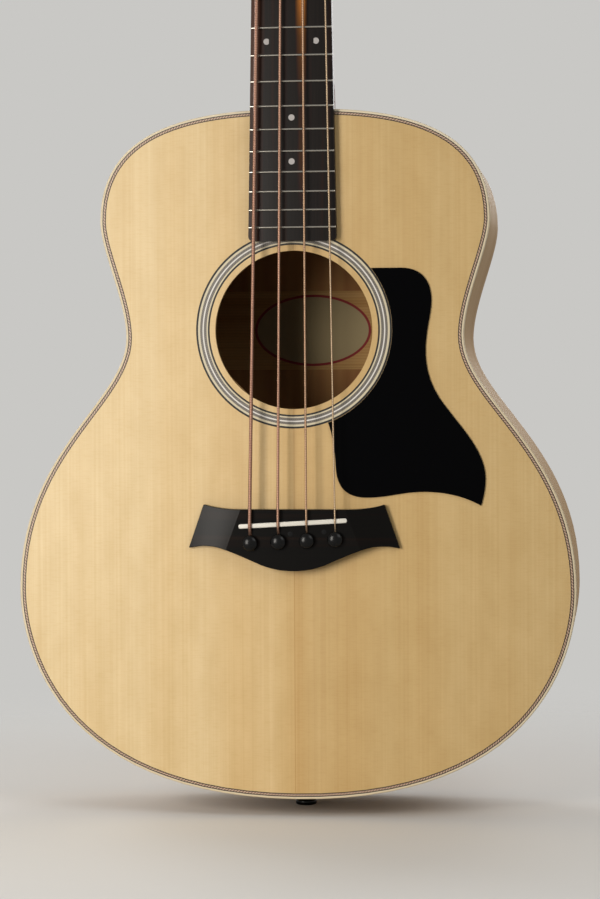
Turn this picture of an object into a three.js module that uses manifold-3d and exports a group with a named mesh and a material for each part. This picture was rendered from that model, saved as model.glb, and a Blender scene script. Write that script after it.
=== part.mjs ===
import * as THREE from 'three';
import { mergeVertices } from 'three/addons/utils/BufferGeometryUtils.js';
import Module from 'manifold-3d';

const wasm = await Module();
wasm.setup();

// A short-scale acoustic bass guitar, upright: x to the treble side, y to the back, z up to the headstock.
// The origin is the centre of the end pin's flat outer face. Lengths are in millimetres.

const seatGap = 0.3; // glue line or fitting gap between two pieces
const overrun = 3; // how far a cutter runs past what it cuts

const body = {
  length: 447.3,
  lowerBoutWidth: 363.8,
  waistWidth: 220.3,
  upperBoutWidth: 254,
  lowerBoutHeight: 135.9,
  waistHeight: 300.3,
  upperBoutHeight: 375.9,
  rimDepthAtTail: 112.7,
  rimDepthAtNeck: 104,
  backArchRise: 7,
  soundboardThickness: 2.8,
  backThickness: 2.8,
  sideThickness: 2.4,
  halfStations: 32,
};

// How far the handles of the four curves of the outline reach, as shares of the span of each curve
const outlineShares = {
  tail: 0.85,
  lowerBoutBelow: 0.313,
  lowerBoutAbove: 0.557,
  waistBelow: 0.253,
  waistAbove: 0.32,
  upperBoutBelow: 0.25,
  upperBoutAbove: 0.95,
  top: 0.4,
};

const purfling = { fromEdge: 1.9, width: 1.65, depth: 1.2 };
const soundhole = { radius: 51.2, belowBodyTop: 142.7, facets: 40 };
const rosette = { innerRadius: 55.45, outerRadius: 63.4, depth: 1.2 };
const lining = { depth: 13, gluedWidth: 6, thinWidth: 2 };
const block = { width: 62, neckLength: 45, tailLength: 18 };
const brace = { width: 7, height: 13, endHeight: 4, endRun: 34, endClearance: 1 };
const xBrace = { crossingBelowHole: 27.2, halfAngleDegrees: 45 };
const toneBar = { angleDegrees: 205, alongLegShare: 0.66, height: 9 };
const transverseBrace = { width: 12, height: 15, aboveHole: 21 };
const bridgePlate = { thickness: 2.5, aboveSaddle: 5, belowPins: 13 };
const backRingShares = [1, 0.84, 0.58, 0.28];

const endPin = {
  faceRadius: 6.2,
  headRadius: 7,
  headThickness: 3.6,
  neckRadius: 3.7,
  flangeRadius: 5.2,
  flangeThickness: 1.8,
  standout: 12,
  shankRadius: 3,
  shankLength: 17,
};

const scaleLength = 596.9;
const neckSizes = {
  widthAtNut: 42.9,
  widthPerLength: 0.034,
  fingerboardHeight: 6.2,
  crownRadius: 381,
  fretCount: 20,
  jointFret: 14,
  jointFretAboveBody: 1.1,
  boardPastLastFret: 8,
  boardCornerRadius: 3,
  fretHeight: 1.1,
  fretWidth: 2.2,
  fretTopWidth: 1,
  fretEndInset: 0.4,
  depthAtNut: 15,
  depthAtBody: 17,
  heelDepth: 92,
  heelTipHalfWidth: 14,
  heelTipReach: 16,
  heelRootReach: 62,
  heelLevels: 7,
  backSteps: 12,
};
// The round of the neck's back, and how the heel starts, narrows and draws in towards its tip
const neckShares = { backRound: 0.8, heelStart: 0.333, heelNarrowing: 0.8, heelDrawIn: 3 };
const nutSizes = { thickness: 5, aboveBoard: 2.2, slotLift: 0.4 };

const bridgeSizes = {
  height: 8.5,
  wingTipHeight: 3,
  halfWidth: 68.9,
  topCornerHalfWidth: 58.9,
  flatTopHalfWidth: 36,
  topEdge: 9,
  topCornerEdge: 12.2,
  wingBottomEdge: 15,
  bottomCornerEdge: 16.3,
  bellyBottomEdge: 30.8,
  blockHalfWidthAtTop: 34,
  blockHalfWidthAtBottom: 43,
};
// The bridge's edge on one side: shares of the half width, each with a share of the dip or of the belly
const bridgeDipShares = [[0.67, 0], [0.79, 0.5]];
const bridgeBellyShares = [
  [0.93, 0],
  [0.86, -0.02],
  [0.79, 0],
  [0.67, 0.04],
  [0.52, 0.34],
  [0.3, 0.76],
  [0.19, 0.94],
  [0.09, 1],
  [0, 1],
];
// The fall of the wing from the thick block to the tip
const wingOutShares = [0, 0.12, 0.35, 0.65, 1];
const wingHeightShares = [1, 0.8, 0.36, 0.08, 0];

const saddleSizes = { length: 70.8, thickness: 3, compensation: 2.85, slantDegrees: 3.3, slotFloor: 3.2 };
const pinSizes = {
  behindSaddle: 11.4,
  slantDegrees: 2.7,
  topRadius: 2.7,
  tipRadius: 2.3,
  length: 17,
  headRadius: 5.1,
  headHeight: 5.2,
  collarRadius: 3.6,
  collarHeight: 0.6,
};
// The dome of the pin's head, as shares of its radius and its height
const pinDomeShares = [[1, 0.4], [0.93, 0.65], [0.6, 0.92]];

const stringSizes = {
  spreadAtNut: 31,
  spreadAtSaddle: 55.3,
  actionAtTwelfth: 2.3,
  ballRadius: 2.2,
  rampFoot: 3.2,
  cordSides: 8,
  channelSides: 6,
  channelGap: 0.4,
};
// Where the string bends at its ramp and at the saddle, as shares of its radius
const stringBendShares = { rampStart: 1.2, saddleBack: 1.1, saddleFront: 0.2 };
const stringDiameters = { e: 2.3, a: 1.75, d: 1.4, g: 1.1 };
const strings = [
  { name: 'e', diameter: stringDiameters.e, side: -1, row: 0 },
  { name: 'a', diameter: stringDiameters.a, side: -1, row: 1 },
  { name: 'd', diameter: stringDiameters.d, side: 1, row: 1 },
  { name: 'g', diameter: stringDiameters.g, side: 1, row: 0 },
];

const pickguard = { thickness: 1.2, reach: 123.8, drop: 113.6, rise: 39.5, ringGap: 0.3 };
// The pickguard's edge from its top to its lower end, as shares of its reach and of its rise or drop
const pickguardStartShares = [0.56, 1];
const pickguardCurveShares = [
  [[0.67, 1], [0.722, 0.79], [0.722, 0.455]],
  [[0.722, 0.12], [0.63, -0.17], [0.762, -0.39]],
  [[0.856, -0.54], [1, -0.68], [1, -0.845]],
  [[1, -0.895], [0.992, -0.947], [0.977, -1]],
  [[0.89, -0.946], [0.79, -0.922], [0.68, -0.922]],
  [[0.56, -0.922], [0.5, -0.955], [0.38, -0.955]],
  [[0.26, -0.955], [0.222, -0.88], [0.219, -0.77]],
];
const pickguardLastShares = [0.211, -0.62];
const pickguardEndShare = 0.18;

const headstock = {
  tiltDegrees: 15,
  length: 142,
  thickness: 15.5,
  plateThickness: 1.6,
  faceBelowBoardBase: -1.5,
  shoulderHalfWidth: 31.5,
  shoulderHeight: 26,
  topHalfWidth: 36,
  topCornerHeight: 131,
};
// The curves of the headstock's shoulders and top, as shares of its heights and of its top half width
const headstockShares = {
  neckHandle: 0.45,
  shoulderHandle: 0.5,
  cornerWidth: 0.98,
  cornerHeight: 0.975,
  crownWidth: 0.72,
  crownStart: 0.985,
  crownPeak: 1.015,
};
const trussRod = {
  barWidth: 6,
  barDepth: 8.4,
  axisDepth: 6.6,
  channelDepth: 11.2,
  endRadius: 2.5,
  endInNut: 9.6,
  nutRadius: 4,
  nutLength: 12,
  nutStart: 4,
  fromBody: 12,
  pocketWidth: 12,
  pocketLength: 24,
  pocketRoom: 1,
};
const rodCover = { halfWidth: 11, tipHalfWidth: 4, start: 2.5, length: 36, thickness: 1.8 };
const rodCoverShares = { wideHandle: 0.55, tipHandle: 0.6, tipHandleWidth: 1.6 };

const tuner = {
  rowHeights: [42, 98],
  rowHalfSpans: [20, 21.5],
  postRadius: 4.5,
  postWaistRadius: 4.1,
  postTopRadius: 3.5,
  postTopRound: 1,
  postHeight: 15.5,
  bushingRadius: 6.2,
  flangeRadius: 8,
  flangeThickness: 1.8,
  bushingLength: 9,
  plateThickness: 1.2,
  plateHalfWidth: 10.5,
  plateTop: 10,
  plateBelowWorm: 5.5,
  plateCorner: 3,
  earThickness: 2,
  earHalfWidth: 3.7,
  earAboveShaft: 3.6,
  teeth: 16,
  pitch: 2.8,
  wormPitchRadius: 4,
  addendum: 0.85,
  dedendum: 1.2,
  toothTipWidth: 0.65,
  toothRootWidth: 1.5,
  threadTipWidth: 0.55,
  threadRootWidth: 1.45,
  threadTurns: 3,
  threadStepsPerTurn: 10,
  wormPlateGap: 0.5,
  wheelThickness: 4.5,
  hubRadius: 3.2,
  collarRadius: 5.4,
  capRadius: 4.4,
  capTopRadius: 3.1,
  capThickness: 1.5,
  shaftRadius: 2.4,
  shaftPastEdge: 5,
  buttonCollarRadius: 3.5,
  buttonLength: 17,
  buttonWidth: 21,
  buttonThickness: 7.5,
  buttonRoundShare: 0.8,
};
const winding = {
  turns: 2.5,
  postGap: 0.3,
  turnGap: 0.6,
  climbShare: 0.5,
  stepsPerTurn: 14,
  sides: 6,
  bend: 0.7,
  endFromAxis: 1,
  nearestDiameters: 3,
};

const colours = {
  spruce: 0xe0bc82,
  maple: 0xc9ab7c,
  darkWood: 0x241c18,
  neckWood: 0x9a6a42,
  innerWood: 0xb98f5a,
  bone: 0xe9e4d6,
  blackPlastic: 0x0d0d0e,
  ringGrey: 0x9c9a92,
  purflingDark: 0x3a2c22,
  bronze: 0xb9784b,
  steel: 0x9b9da0,
  chrome: 0xd2d4d6,
  brass: 0xb08d4f,
};
const finishes = {
  satinWood: { roughness: 0.55, metalness: 0 },
  gloss: { roughness: 0.15, metalness: 0 },
  satinBlack: { roughness: 0.35, metalness: 0 },
  metal: { roughness: 0.25, metalness: 1 },
  wire: { roughness: 0.4, metalness: 0.9 },
};

// Levels and places that the pieces share
const frontPlane = -body.rimDepthAtTail / 2;
const tailZ = endPin.standout;
const bodyTopZ = tailZ + body.length;
const soundholeZ = bodyTopZ - soundhole.belowBodyTop;
const nutZ = bodyTopZ + neckSizes.jointFretAboveBody + fretDistance(neckSizes.jointFret);
const saddleZ = nutZ - scaleLength - saddleSizes.compensation;
const boardLength = fretDistance(neckSizes.fretCount) + neckSizes.boardPastLastFret;
const soundboardBack = frontPlane + body.soundboardThickness;
const deepestRim = Math.max(body.rimDepthAtTail, body.rimDepthAtNeck);
const shallowestRim = Math.min(body.rimDepthAtTail, body.rimDepthAtNeck);
const degree = Math.PI / 180;

function fretDistance(fret) {
  return scaleLength * (1 - 2 ** (-fret / 12));
}

function rimDepthAt(z) {
  const share = (z - tailZ) / body.length;
  return body.rimDepthAtTail + (body.rimDepthAtNeck - body.rimDepthAtTail) * share;
}

function backInnerY(z) {
  return frontPlane + rimDepthAt(z) - body.backThickness;
}

function boardHalfWidthAt(z) {
  return (neckSizes.widthAtNut + neckSizes.widthPerLength * (nutZ - z)) / 2;
}

function crownDrop(x) {
  return neckSizes.crownRadius - Math.sqrt(neckSizes.crownRadius ** 2 - x ** 2);
}

// Solids from three.js geometries, and back
function toSolid(geometry) {
  const bare = geometry.clone();
  bare.deleteAttribute('normal');
  bare.deleteAttribute('uv');
  const merged = mergeVertices(bare);
  const mesh = new wasm.Mesh({
    numProp: 3,
    vertProperties: new Float32Array(merged.attributes.position.array),
    triVerts: new Uint32Array(merged.index.array),
  });
  return new wasm.Manifold(mesh);
}

function toGeometry(solid) {
  const mesh = solid.getMesh();
  const geometry = new THREE.BufferGeometry();
  geometry.setAttribute('position', new THREE.BufferAttribute(mesh.vertProperties, 3));
  geometry.setIndex(new THREE.BufferAttribute(mesh.triVerts, 1));
  return geometry;
}

function join(...geometries) {
  return toGeometry(geometries.map(toSolid).reduce((whole, next) => whole.add(next)));
}

function cut(geometry, ...cutters) {
  return toGeometry(cutters.map(toSolid).reduce((whole, next) => whole.subtract(next), toSolid(geometry)));
}

function common(first, second) {
  return toGeometry(toSolid(first).intersect(toSolid(second)));
}

// A geometry from points and triangles, turned so that its faces point out
function closedBody(points, faces) {
  let volume = 0;
  for (let i = 0; i < faces.length; i += 3) {
    const [a, b, c] = [points[faces[i]], points[faces[i + 1]], points[faces[i + 2]]];
    volume += a.dot(b.clone().cross(c));
  }
  const order = volume < 0 ? faces.slice().reverse() : faces;
  const geometry = new THREE.BufferGeometry().setFromPoints(points);
  geometry.setIndex(order);
  return geometry;
}

// A body through a row of rings with equally many points, capped at its ends or closed into a loop
function loft(rings, isLoop = false) {
  const count = rings[0].length;
  const faces = [];
  const spans = isLoop ? rings.length : rings.length - 1;
  for (let i = 0; i < spans; i += 1) {
    const near = i * count;
    const far = ((i + 1) % rings.length) * count;
    for (let j = 0; j < count; j += 1) {
      const k = (j + 1) % count;
      faces.push(near + j, far + j, far + k, near + j, far + k, near + k);
    }
  }
  if (!isLoop) {
    const last = (rings.length - 1) * count;
    for (let j = 1; j < count - 1; j += 1) {
      faces.push(0, j, j + 1);
      faces.push(last, last + j + 1, last + j);
    }
  }
  return closedBody(rings.flat(), faces);
}

// A plate cut from a drawing of x and z, between two levels of y
function plate(shape, front, back, curveSegments = 12) {
  const geometry = new THREE.ExtrudeGeometry(shape, {
    depth: back - front,
    bevelEnabled: false,
    curveSegments,
  });
  geometry.rotateX(Math.PI / 2);
  geometry.translate(0, back, 0);
  return geometry;
}

function box(xLow, xHigh, yLow, yHigh, zLow, zHigh) {
  const geometry = new THREE.BoxGeometry(xHigh - xLow, yHigh - yLow, zHigh - zLow);
  geometry.translate((xLow + xHigh) / 2, (yLow + yHigh) / 2, (zLow + zHigh) / 2);
  return geometry;
}

// A round bar along y; its flats are set so that a facet faces each side
function barAlongY(radius, yLow, yHigh, facets, x = 0, z = 0) {
  const geometry = new THREE.CylinderGeometry(radius, radius, yHigh - yLow, facets);
  geometry.translate(x, (yLow + yHigh) / 2, z);
  return geometry;
}

// A turned piece from a profile of radius and height, with its axis along y
function turned(profile, facets) {
  return new THREE.LatheGeometry(
    profile.map(([radius, height]) => new THREE.Vector2(radius, height)),
    facets,
  );
}

function shapeFrom(points) {
  return new THREE.Shape(points.map((point) => new THREE.Vector2(point.x, point.y)));
}

// The right half of the body's outline, tail to neck: four curves that share upright tangents
const halfOutlinePoints = (() => {
  const lower = new THREE.Vector2(body.lowerBoutWidth / 2, tailZ + body.lowerBoutHeight);
  const waist = new THREE.Vector2(body.waistWidth / 2, tailZ + body.waistHeight);
  const upper = new THREE.Vector2(body.upperBoutWidth / 2, tailZ + body.upperBoutHeight);
  const tail = new THREE.Vector2(0, tailZ);
  const top = new THREE.Vector2(0, bodyTopZ);
  const share = outlineShares;
  const raised = (point, height) => new THREE.Vector2(point.x, point.y + height);
  const path = new THREE.CurvePath();
  path.add(new THREE.CubicBezierCurve(
    tail,
    new THREE.Vector2(lower.x * share.tail, tail.y),
    raised(lower, -share.lowerBoutBelow * (lower.y - tail.y)),
    lower,
  ));
  path.add(new THREE.CubicBezierCurve(
    lower,
    raised(lower, share.lowerBoutAbove * (waist.y - lower.y)),
    raised(waist, -share.waistBelow * (waist.y - lower.y)),
    waist,
  ));
  path.add(new THREE.CubicBezierCurve(
    waist,
    raised(waist, share.waistAbove * (upper.y - waist.y)),
    raised(upper, -share.upperBoutBelow * (upper.y - waist.y)),
    upper,
  ));
  path.add(new THREE.CubicBezierCurve(
    upper,
    raised(upper, share.upperBoutAbove * (top.y - upper.y)),
    new THREE.Vector2(upper.x * share.top, top.y),
    top,
  ));
  return path.getSpacedPoints(body.halfStations);
})();

// The half outline moved inward, so that every edge keeps its direction
function insetHalf(inset) {
  const last = halfOutlinePoints.length - 1;
  return halfOutlinePoints.map((point, i) => {
    if (i === 0) {
      return new THREE.Vector2(0, point.y + inset);
    }
    if (i === last) {
      return new THREE.Vector2(0, point.y - inset);
    }
    const before = point.clone().sub(halfOutlinePoints[i - 1]).normalize();
    const after = halfOutlinePoints[i + 1].clone().sub(point).normalize();
    const inwardBefore = new THREE.Vector2(-before.y, before.x);
    const inwardAfter = new THREE.Vector2(-after.y, after.x);
    const middle = inwardBefore.clone().add(inwardAfter).normalize();
    return point.clone().addScaledVector(middle, inset / middle.dot(inwardBefore));
  });
}

function insetOutline(inset) {
  const right = insetHalf(inset);
  const left = right.slice(1, -1).reverse().map((point) => new THREE.Vector2(-point.x, point.y));
  return [...right, ...left];
}

// How far a straight line runs from a point inside the body to the outline at a given inset
function reachInside(from, angleDegrees, inset) {
  const direction = new THREE.Vector2(Math.cos(angleDegrees * degree), Math.sin(angleDegrees * degree));
  const outline = insetOutline(inset);
  let reach = Infinity;
  outline.forEach((start, i) => {
    const edge = outline[(i + 1) % outline.length].clone().sub(start);
    const toStart = start.clone().sub(from);
    const spread = direction.cross(edge);
    const along = toStart.cross(edge) / spread;
    const share = toStart.cross(direction) / spread;
    if (along > 0 && share >= 0 && share <= 1 && along < reach) {
      reach = along;
    }
  });
  return reach;
}

// A strip that follows the rim on one side of the body, with a section that may taper from front to back
function rimStrip(side, frontAt, backAt, outerInset, innerInsetFront, innerInsetBack) {
  const outer = insetHalf(outerInset);
  const innerFront = insetHalf(innerInsetFront);
  const innerBack = insetHalf(innerInsetBack);
  const corner = (point, level) => new THREE.Vector3(side * point.x, level(point.y), point.y);
  return loft(outer.map((point, i) => [
    corner(point, frontAt),
    corner(point, backAt),
    corner(innerBack[i], backAt),
    corner(innerFront[i], frontAt),
  ]));
}

const palette = new Map();
function materialOf(colour, finish) {
  const key = `${colour}-${finish}`;
  if (!palette.has(key)) {
    palette.set(key, new THREE.MeshStandardMaterial({ color: colours[colour], ...finishes[finish] }));
  }
  return palette.get(key);
}

function addPiece(group, name, geometry, colour, finish) {
  const mesh = new THREE.Mesh(geometry, materialOf(colour, finish));
  mesh.name = name;
  group.add(mesh);
  return mesh;
}

const guitar = new THREE.Group();

// Strings: where each one lies, from its ball end to the nut
const spreadShare = (index) => index / (strings.length - 1) - 0.5;
const stringHeightOverBoard = neckSizes.fretHeight + nutSizes.slotLift;
const saddleLift = 2 * (stringSizes.actionAtTwelfth - nutSizes.slotLift);

function saddleZAt(x) {
  return saddleZ + x * Math.tan(saddleSizes.slantDegrees * degree);
}

function pinPlace(index) {
  const x = stringSizes.spreadAtSaddle * spreadShare(index);
  return { x, z: saddleZ - pinSizes.behindSaddle + x * Math.tan(pinSizes.slantDegrees * degree) };
}

function heightY(height) {
  return frontPlane - height;
}

function saddleTopHeight(x) {
  return neckSizes.fingerboardHeight + stringHeightOverBoard + saddleLift - crownDrop(x) - seatGap;
}

function nutFloorHeight(x) {
  return neckSizes.fingerboardHeight + stringHeightOverBoard - crownDrop(x);
}

const stringDrop = pinSizes.tipRadius + 2 * seatGap + stringSizes.ballRadius;
const ballDepth = body.soundboardThickness + bridgePlate.thickness + seatGap + stringSizes.ballRadius;

// The tilted headstock: its own x, y and z start at the nut, on the face plate's front
const headstockGroup = new THREE.Group();
const plateFootRise = headstock.plateThickness * Math.sin(headstock.tiltDegrees * degree);
headstockGroup.position.set(
  0,
  frontPlane + headstock.faceBelowBoardBase,
  nutZ + nutSizes.thickness + seatGap + plateFootRise,
);
headstockGroup.rotation.x = -headstock.tiltDegrees * degree;
headstockGroup.updateMatrixWorld(true);
guitar.add(headstockGroup);

function tilted(geometry) {
  return geometry.clone().applyMatrix4(headstockGroup.matrix);
}

function windingRadius(diameter) {
  return tuner.postWaistRadius + winding.postGap + diameter / 2;
}

function windingLevel(diameter) {
  return -(tuner.flangeThickness + 2 * seatGap + winding.turnGap + diameter / 2);
}

function postPlace(string) {
  return new THREE.Vector2(string.side * tuner.rowHalfSpans[string.row], tuner.rowHeights[string.row]);
}

// Where the string leaves the nut, in the headstock's frame
function nutExit(string, index) {
  const x = stringSizes.spreadAtNut * spreadShare(index);
  const y = heightY(nutFloorHeight(x) + string.diameter / 2 - seatGap);
  const point = new THREE.Vector3(x, y, nutZ + nutSizes.thickness);
  return headstockGroup.worldToLocal(point);
}

// The place, as an angle round the post, where the straight string touches its winding on the inner side
function tangentAngle(string, index) {
  const exit = nutExit(string, index);
  const toNut = new THREE.Vector2(exit.x, exit.z).sub(postPlace(string));
  const lean = Math.acos(windingRadius(string.diameter) / toNut.length());
  return toNut.angle() - string.side * lean;
}

function tangentPoint(string, index) {
  const radius = windingRadius(string.diameter);
  const angle = tangentAngle(string, index);
  const post = postPlace(string);
  return new THREE.Vector3(
    post.x + radius * Math.cos(angle),
    windingLevel(string.diameter),
    post.y + radius * Math.sin(angle),
  );
}

function stringRoute(string, index) {
  const radius = string.diameter / 2;
  const pin = pinPlace(index);
  const dropZ = pin.z + stringDrop;
  const saddleHalf = saddleSizes.thickness / 2;
  const overSaddle = saddleTopHeight(pin.x) + seatGap + radius;
  const xNut = stringSizes.spreadAtNut * spreadShare(index);
  const overNut = nutFloorHeight(xNut) + radius;
  const crest = saddleZAt(pin.x);
  const bend = stringBendShares;
  const exit = headstockGroup.localToWorld(nutExit(string, index));
  return [
    new THREE.Vector3(pin.x, heightY(-ballDepth), dropZ),
    new THREE.Vector3(pin.x, heightY(stringSizes.rampFoot - bend.rampStart * radius), dropZ),
    new THREE.Vector3(pin.x, heightY(stringSizes.rampFoot + radius), dropZ + radius / 2),
    new THREE.Vector3(pin.x, heightY(overSaddle - radius), crest - saddleHalf - bend.saddleBack * radius),
    new THREE.Vector3(pin.x, heightY(overSaddle), crest - saddleHalf + bend.saddleFront * radius),
    new THREE.Vector3(pin.x, heightY(overSaddle), crest + saddleHalf),
    new THREE.Vector3(xNut, heightY(overNut), nutZ),
    exit,
    headstockGroup.localToWorld(tangentPoint(string, index)),
  ];
}

// A round cord along a list of points, mitred at each bend
function cordAlong(points, radius, sides) {
  const last = points.length - 1;
  const runs = points.slice(1).map((point, i) => point.clone().sub(points[i]).normalize());
  const across = new THREE.Vector3(1, 0, 0);
  if (Math.abs(runs[0].x) > 0.9) {
    across.set(0, 1, 0);
  }
  across.addScaledVector(runs[0], -across.dot(runs[0])).normalize();
  const rings = points.map((point, i) => {
    const run = runs[Math.min(i, last - 1)];
    const before = runs[Math.max(i - 1, 0)];
    const turn = new THREE.Quaternion().setFromUnitVectors(before, run);
    const mitre = before.clone().add(run).normalize();
    const second = before.clone().cross(across);
    const ring = [];
    for (let j = 0; j < sides; j += 1) {
      const angle = (2 * Math.PI * j) / sides;
      const spoke = across.clone().multiplyScalar(Math.cos(angle) * radius);
      spoke.addScaledVector(second, Math.sin(angle) * radius);
      spoke.addScaledVector(before, -spoke.dot(mitre) / before.dot(mitre));
      ring.push(point.clone().add(spoke));
    }
    across.applyQuaternion(turn);
    return ring;
  });
  return loft(rings);
}

function stringChannel(string, index) {
  const pin = pinPlace(index);
  const half = string.diameter / 2 + stringSizes.channelGap;
  const route = stringRoute(string, index).slice(0, 7);
  route[0].y += overrun;
  const slotTop = heightY(stringSizes.rampFoot);
  const slotBottom = heightY(-(ballDepth + overrun));
  const slot = box(pin.x - half, pin.x + half, slotTop, slotBottom, pin.z, pin.z + stringDrop);
  return join(cordAlong(route, half, stringSizes.channelSides), slot);
}

function pinHole(index) {
  const pin = pinPlace(index);
  const radius = pinSizes.topRadius + seatGap;
  const top = heightY(bridgeSizes.height + overrun);
  return barAlongY(radius, top, heightY(-(ballDepth + overrun)), 10, pin.x, pin.z);
}

const pinHoles = strings.map((string, index) => pinHole(index));
const stringChannels = strings.map((string, index) => stringChannel(string, index));

// Soundboard, its inlaid rings, the back and the sides
function ringPlate(outerInset, innerInset, front, back) {
  const shape = shapeFrom(insetOutline(outerInset));
  shape.holes.push(shapeFrom(insetOutline(innerInset)));
  return plate(shape, front, back);
}

function flatRing(innerRadius, outerRadius, front, back, facets) {
  const ring = turned([
    [innerRadius, -back],
    [outerRadius, -back],
    [outerRadius, -front],
    [innerRadius, -front],
    [innerRadius, -back],
  ], facets);
  ring.rotateX(Math.PI);
  ring.translate(0, 0, soundholeZ);
  return ring;
}

const soundboardShape = shapeFrom(insetOutline(0));
const purflingOuter = purfling.fromEdge;
const purflingInner = purfling.fromEdge + purfling.width;
const purflingBack = frontPlane + purfling.depth;
const rosetteBack = frontPlane + rosette.depth;
const cutterFront = frontPlane - overrun;
addPiece(guitar, 'soundboard', cut(
  plate(soundboardShape, frontPlane, soundboardBack),
  barAlongY(soundhole.radius, cutterFront, soundboardBack + overrun, soundhole.facets, 0, soundholeZ),
  ringPlate(purflingOuter - seatGap, purflingInner + seatGap, cutterFront, purflingBack),
  flatRing(
    rosette.innerRadius - seatGap,
    rosette.outerRadius + seatGap,
    cutterFront,
    rosetteBack,
    soundhole.facets,
  ),
  ...pinHoles,
  ...stringChannels,
), 'spruce', 'satinWood');
addPiece(
  guitar,
  'purfling',
  ringPlate(purflingOuter, purflingInner, frontPlane, purflingBack),
  'purflingDark',
  'satinWood',
);
addPiece(
  guitar,
  'rosette',
  flatRing(rosette.innerRadius, rosette.outerRadius, frontPlane, rosetteBack, soundhole.facets),
  'ringGrey',
  'satinWood',
);

function archedBack() {
  const outline = insetOutline(0);
  const centre = new THREE.Vector2(0, tailZ + body.waistHeight);
  const surface = (lift) => backRingShares.map((share) => outline.map((point) => {
    const place = centre.clone().lerp(point, share);
    const rise = body.backArchRise * (1 - share ** 2);
    return new THREE.Vector3(place.x, backInnerY(place.y) + rise + lift, place.y);
  }));
  const inner = surface(0);
  const outer = surface(body.backThickness);
  const rings = [...inner.reverse(), ...outer];
  const points = rings.flat();
  const count = outline.length;
  const faces = [];
  for (let i = 0; i < rings.length - 1; i += 1) {
    for (let j = 0; j < count; j += 1) {
      const k = (j + 1) % count;
      faces.push(i * count + j, (i + 1) * count + j, (i + 1) * count + k);
      faces.push(i * count + j, (i + 1) * count + k, i * count + k);
    }
  }
  const crownY = backInnerY(centre.y) + body.backArchRise;
  points.push(new THREE.Vector3(0, crownY, centre.y));
  points.push(new THREE.Vector3(0, crownY + body.backThickness, centre.y));
  const lastRing = (rings.length - 1) * count;
  for (let j = 0; j < count; j += 1) {
    const k = (j + 1) % count;
    faces.push(points.length - 2, j, k);
    faces.push(points.length - 1, lastRing + k, lastRing + j);
  }
  return closedBody(points, faces);
}
addPiece(guitar, 'back', archedBack(), 'maple', 'satinWood');

// The end pin's hole goes through both sides and the tail block
const endPinHole = new THREE.CylinderGeometry(
  endPin.shankRadius + seatGap,
  endPin.shankRadius + seatGap,
  2 * (endPin.shankLength + block.tailLength),
  16,
);
endPinHole.rotateX(Math.PI / 2);
endPinHole.translate(0, 0, tailZ);

const rimBack = (z) => backInnerY(z) - seatGap;
const sidePieces = [['bass_side', -1], ['treble_side', 1]];
sidePieces.forEach(([name, side]) => {
  const strip = rimStrip(side, () => soundboardBack, rimBack, 0, body.sideThickness, body.sideThickness);
  addPiece(guitar, name, cut(strip, endPinHole), 'maple', 'satinWood');
});

// Inside the rim: end blocks, linings and braces
const insideSide = body.sideThickness + seatGap;

function blockBetween(zLow, zHigh) {
  const half = block.width / 2;
  const column = plate(shapeFrom(insetOutline(insideSide)), soundboardBack, soundboardBack + deepestRim);
  const whole = common(column, box(-half, half, soundboardBack, frontPlane + deepestRim, zLow, zHigh));
  const places = whole.attributes.position;
  for (let i = 0; i < places.count; i += 1) {
    if (places.getY(i) > frontPlane + shallowestRim / 2) {
      places.setY(i, rimBack(places.getZ(i)));
    }
  }
  return whole;
}
addPiece(
  guitar,
  'neck_block',
  blockBetween(bodyTopZ - insideSide - block.neckLength, bodyTopZ + overrun),
  'innerWood',
  'satinWood',
);
addPiece(
  guitar,
  'tail_block',
  cut(blockBetween(tailZ - overrun, tailZ + insideSide + block.tailLength), endPinHole),
  'innerWood',
  'satinWood',
);

const blockClear = block.width / 2 + seatGap;
const blockZone = box(
  -blockClear,
  blockClear,
  cutterFront,
  frontPlane + deepestRim + overrun,
  tailZ - overrun,
  bodyTopZ + overrun,
);
const thickLining = insideSide + lining.gluedWidth;
const thinLining = insideSide + lining.thinWidth;
sidePieces.forEach(([name, side]) => {
  const label = name.split('_')[0];
  const front = rimStrip(
    side,
    () => soundboardBack,
    () => soundboardBack + lining.depth,
    insideSide,
    thickLining,
    thinLining,
  );
  addPiece(guitar, `front_lining_${label}`, cut(front, blockZone), 'innerWood', 'satinWood');
  const back = rimStrip(side, (z) => rimBack(z) - lining.depth, rimBack, insideSide, thinLining, thickLining);
  addPiece(guitar, `back_lining_${label}`, cut(back, blockZone), 'innerWood', 'satinWood');
});

// A brace glued to the soundboard's inside: tall in the middle, thinned towards each end
function braceAlong(start, angleDegrees, length, width, height) {
  const run = brace.endRun;
  const profile = new THREE.Shape();
  profile.moveTo(0, 0);
  profile.lineTo(length, 0);
  profile.lineTo(length, brace.endHeight);
  profile.quadraticCurveTo(length - run / 2, brace.endHeight, length - run, height);
  profile.lineTo(run, height);
  profile.quadraticCurveTo(run / 2, brace.endHeight, 0, brace.endHeight);
  const geometry = new THREE.ExtrudeGeometry(profile, {
    depth: width,
    bevelEnabled: false,
    curveSegments: 4,
  });
  geometry.translate(0, 0, -width / 2);
  const along = new THREE.Vector3(Math.cos(angleDegrees * degree), 0, Math.sin(angleDegrees * degree));
  const deep = new THREE.Vector3(0, 1, 0);
  geometry.applyMatrix4(new THREE.Matrix4().makeBasis(along, deep, along.clone().cross(deep)));
  geometry.translate(start.x, soundboardBack, start.y);
  return geometry;
}

const insideLining = thickLining + brace.endClearance;
const crossing = new THREE.Vector2(0, soundholeZ - soundhole.radius - xBrace.crossingBelowHole);

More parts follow.
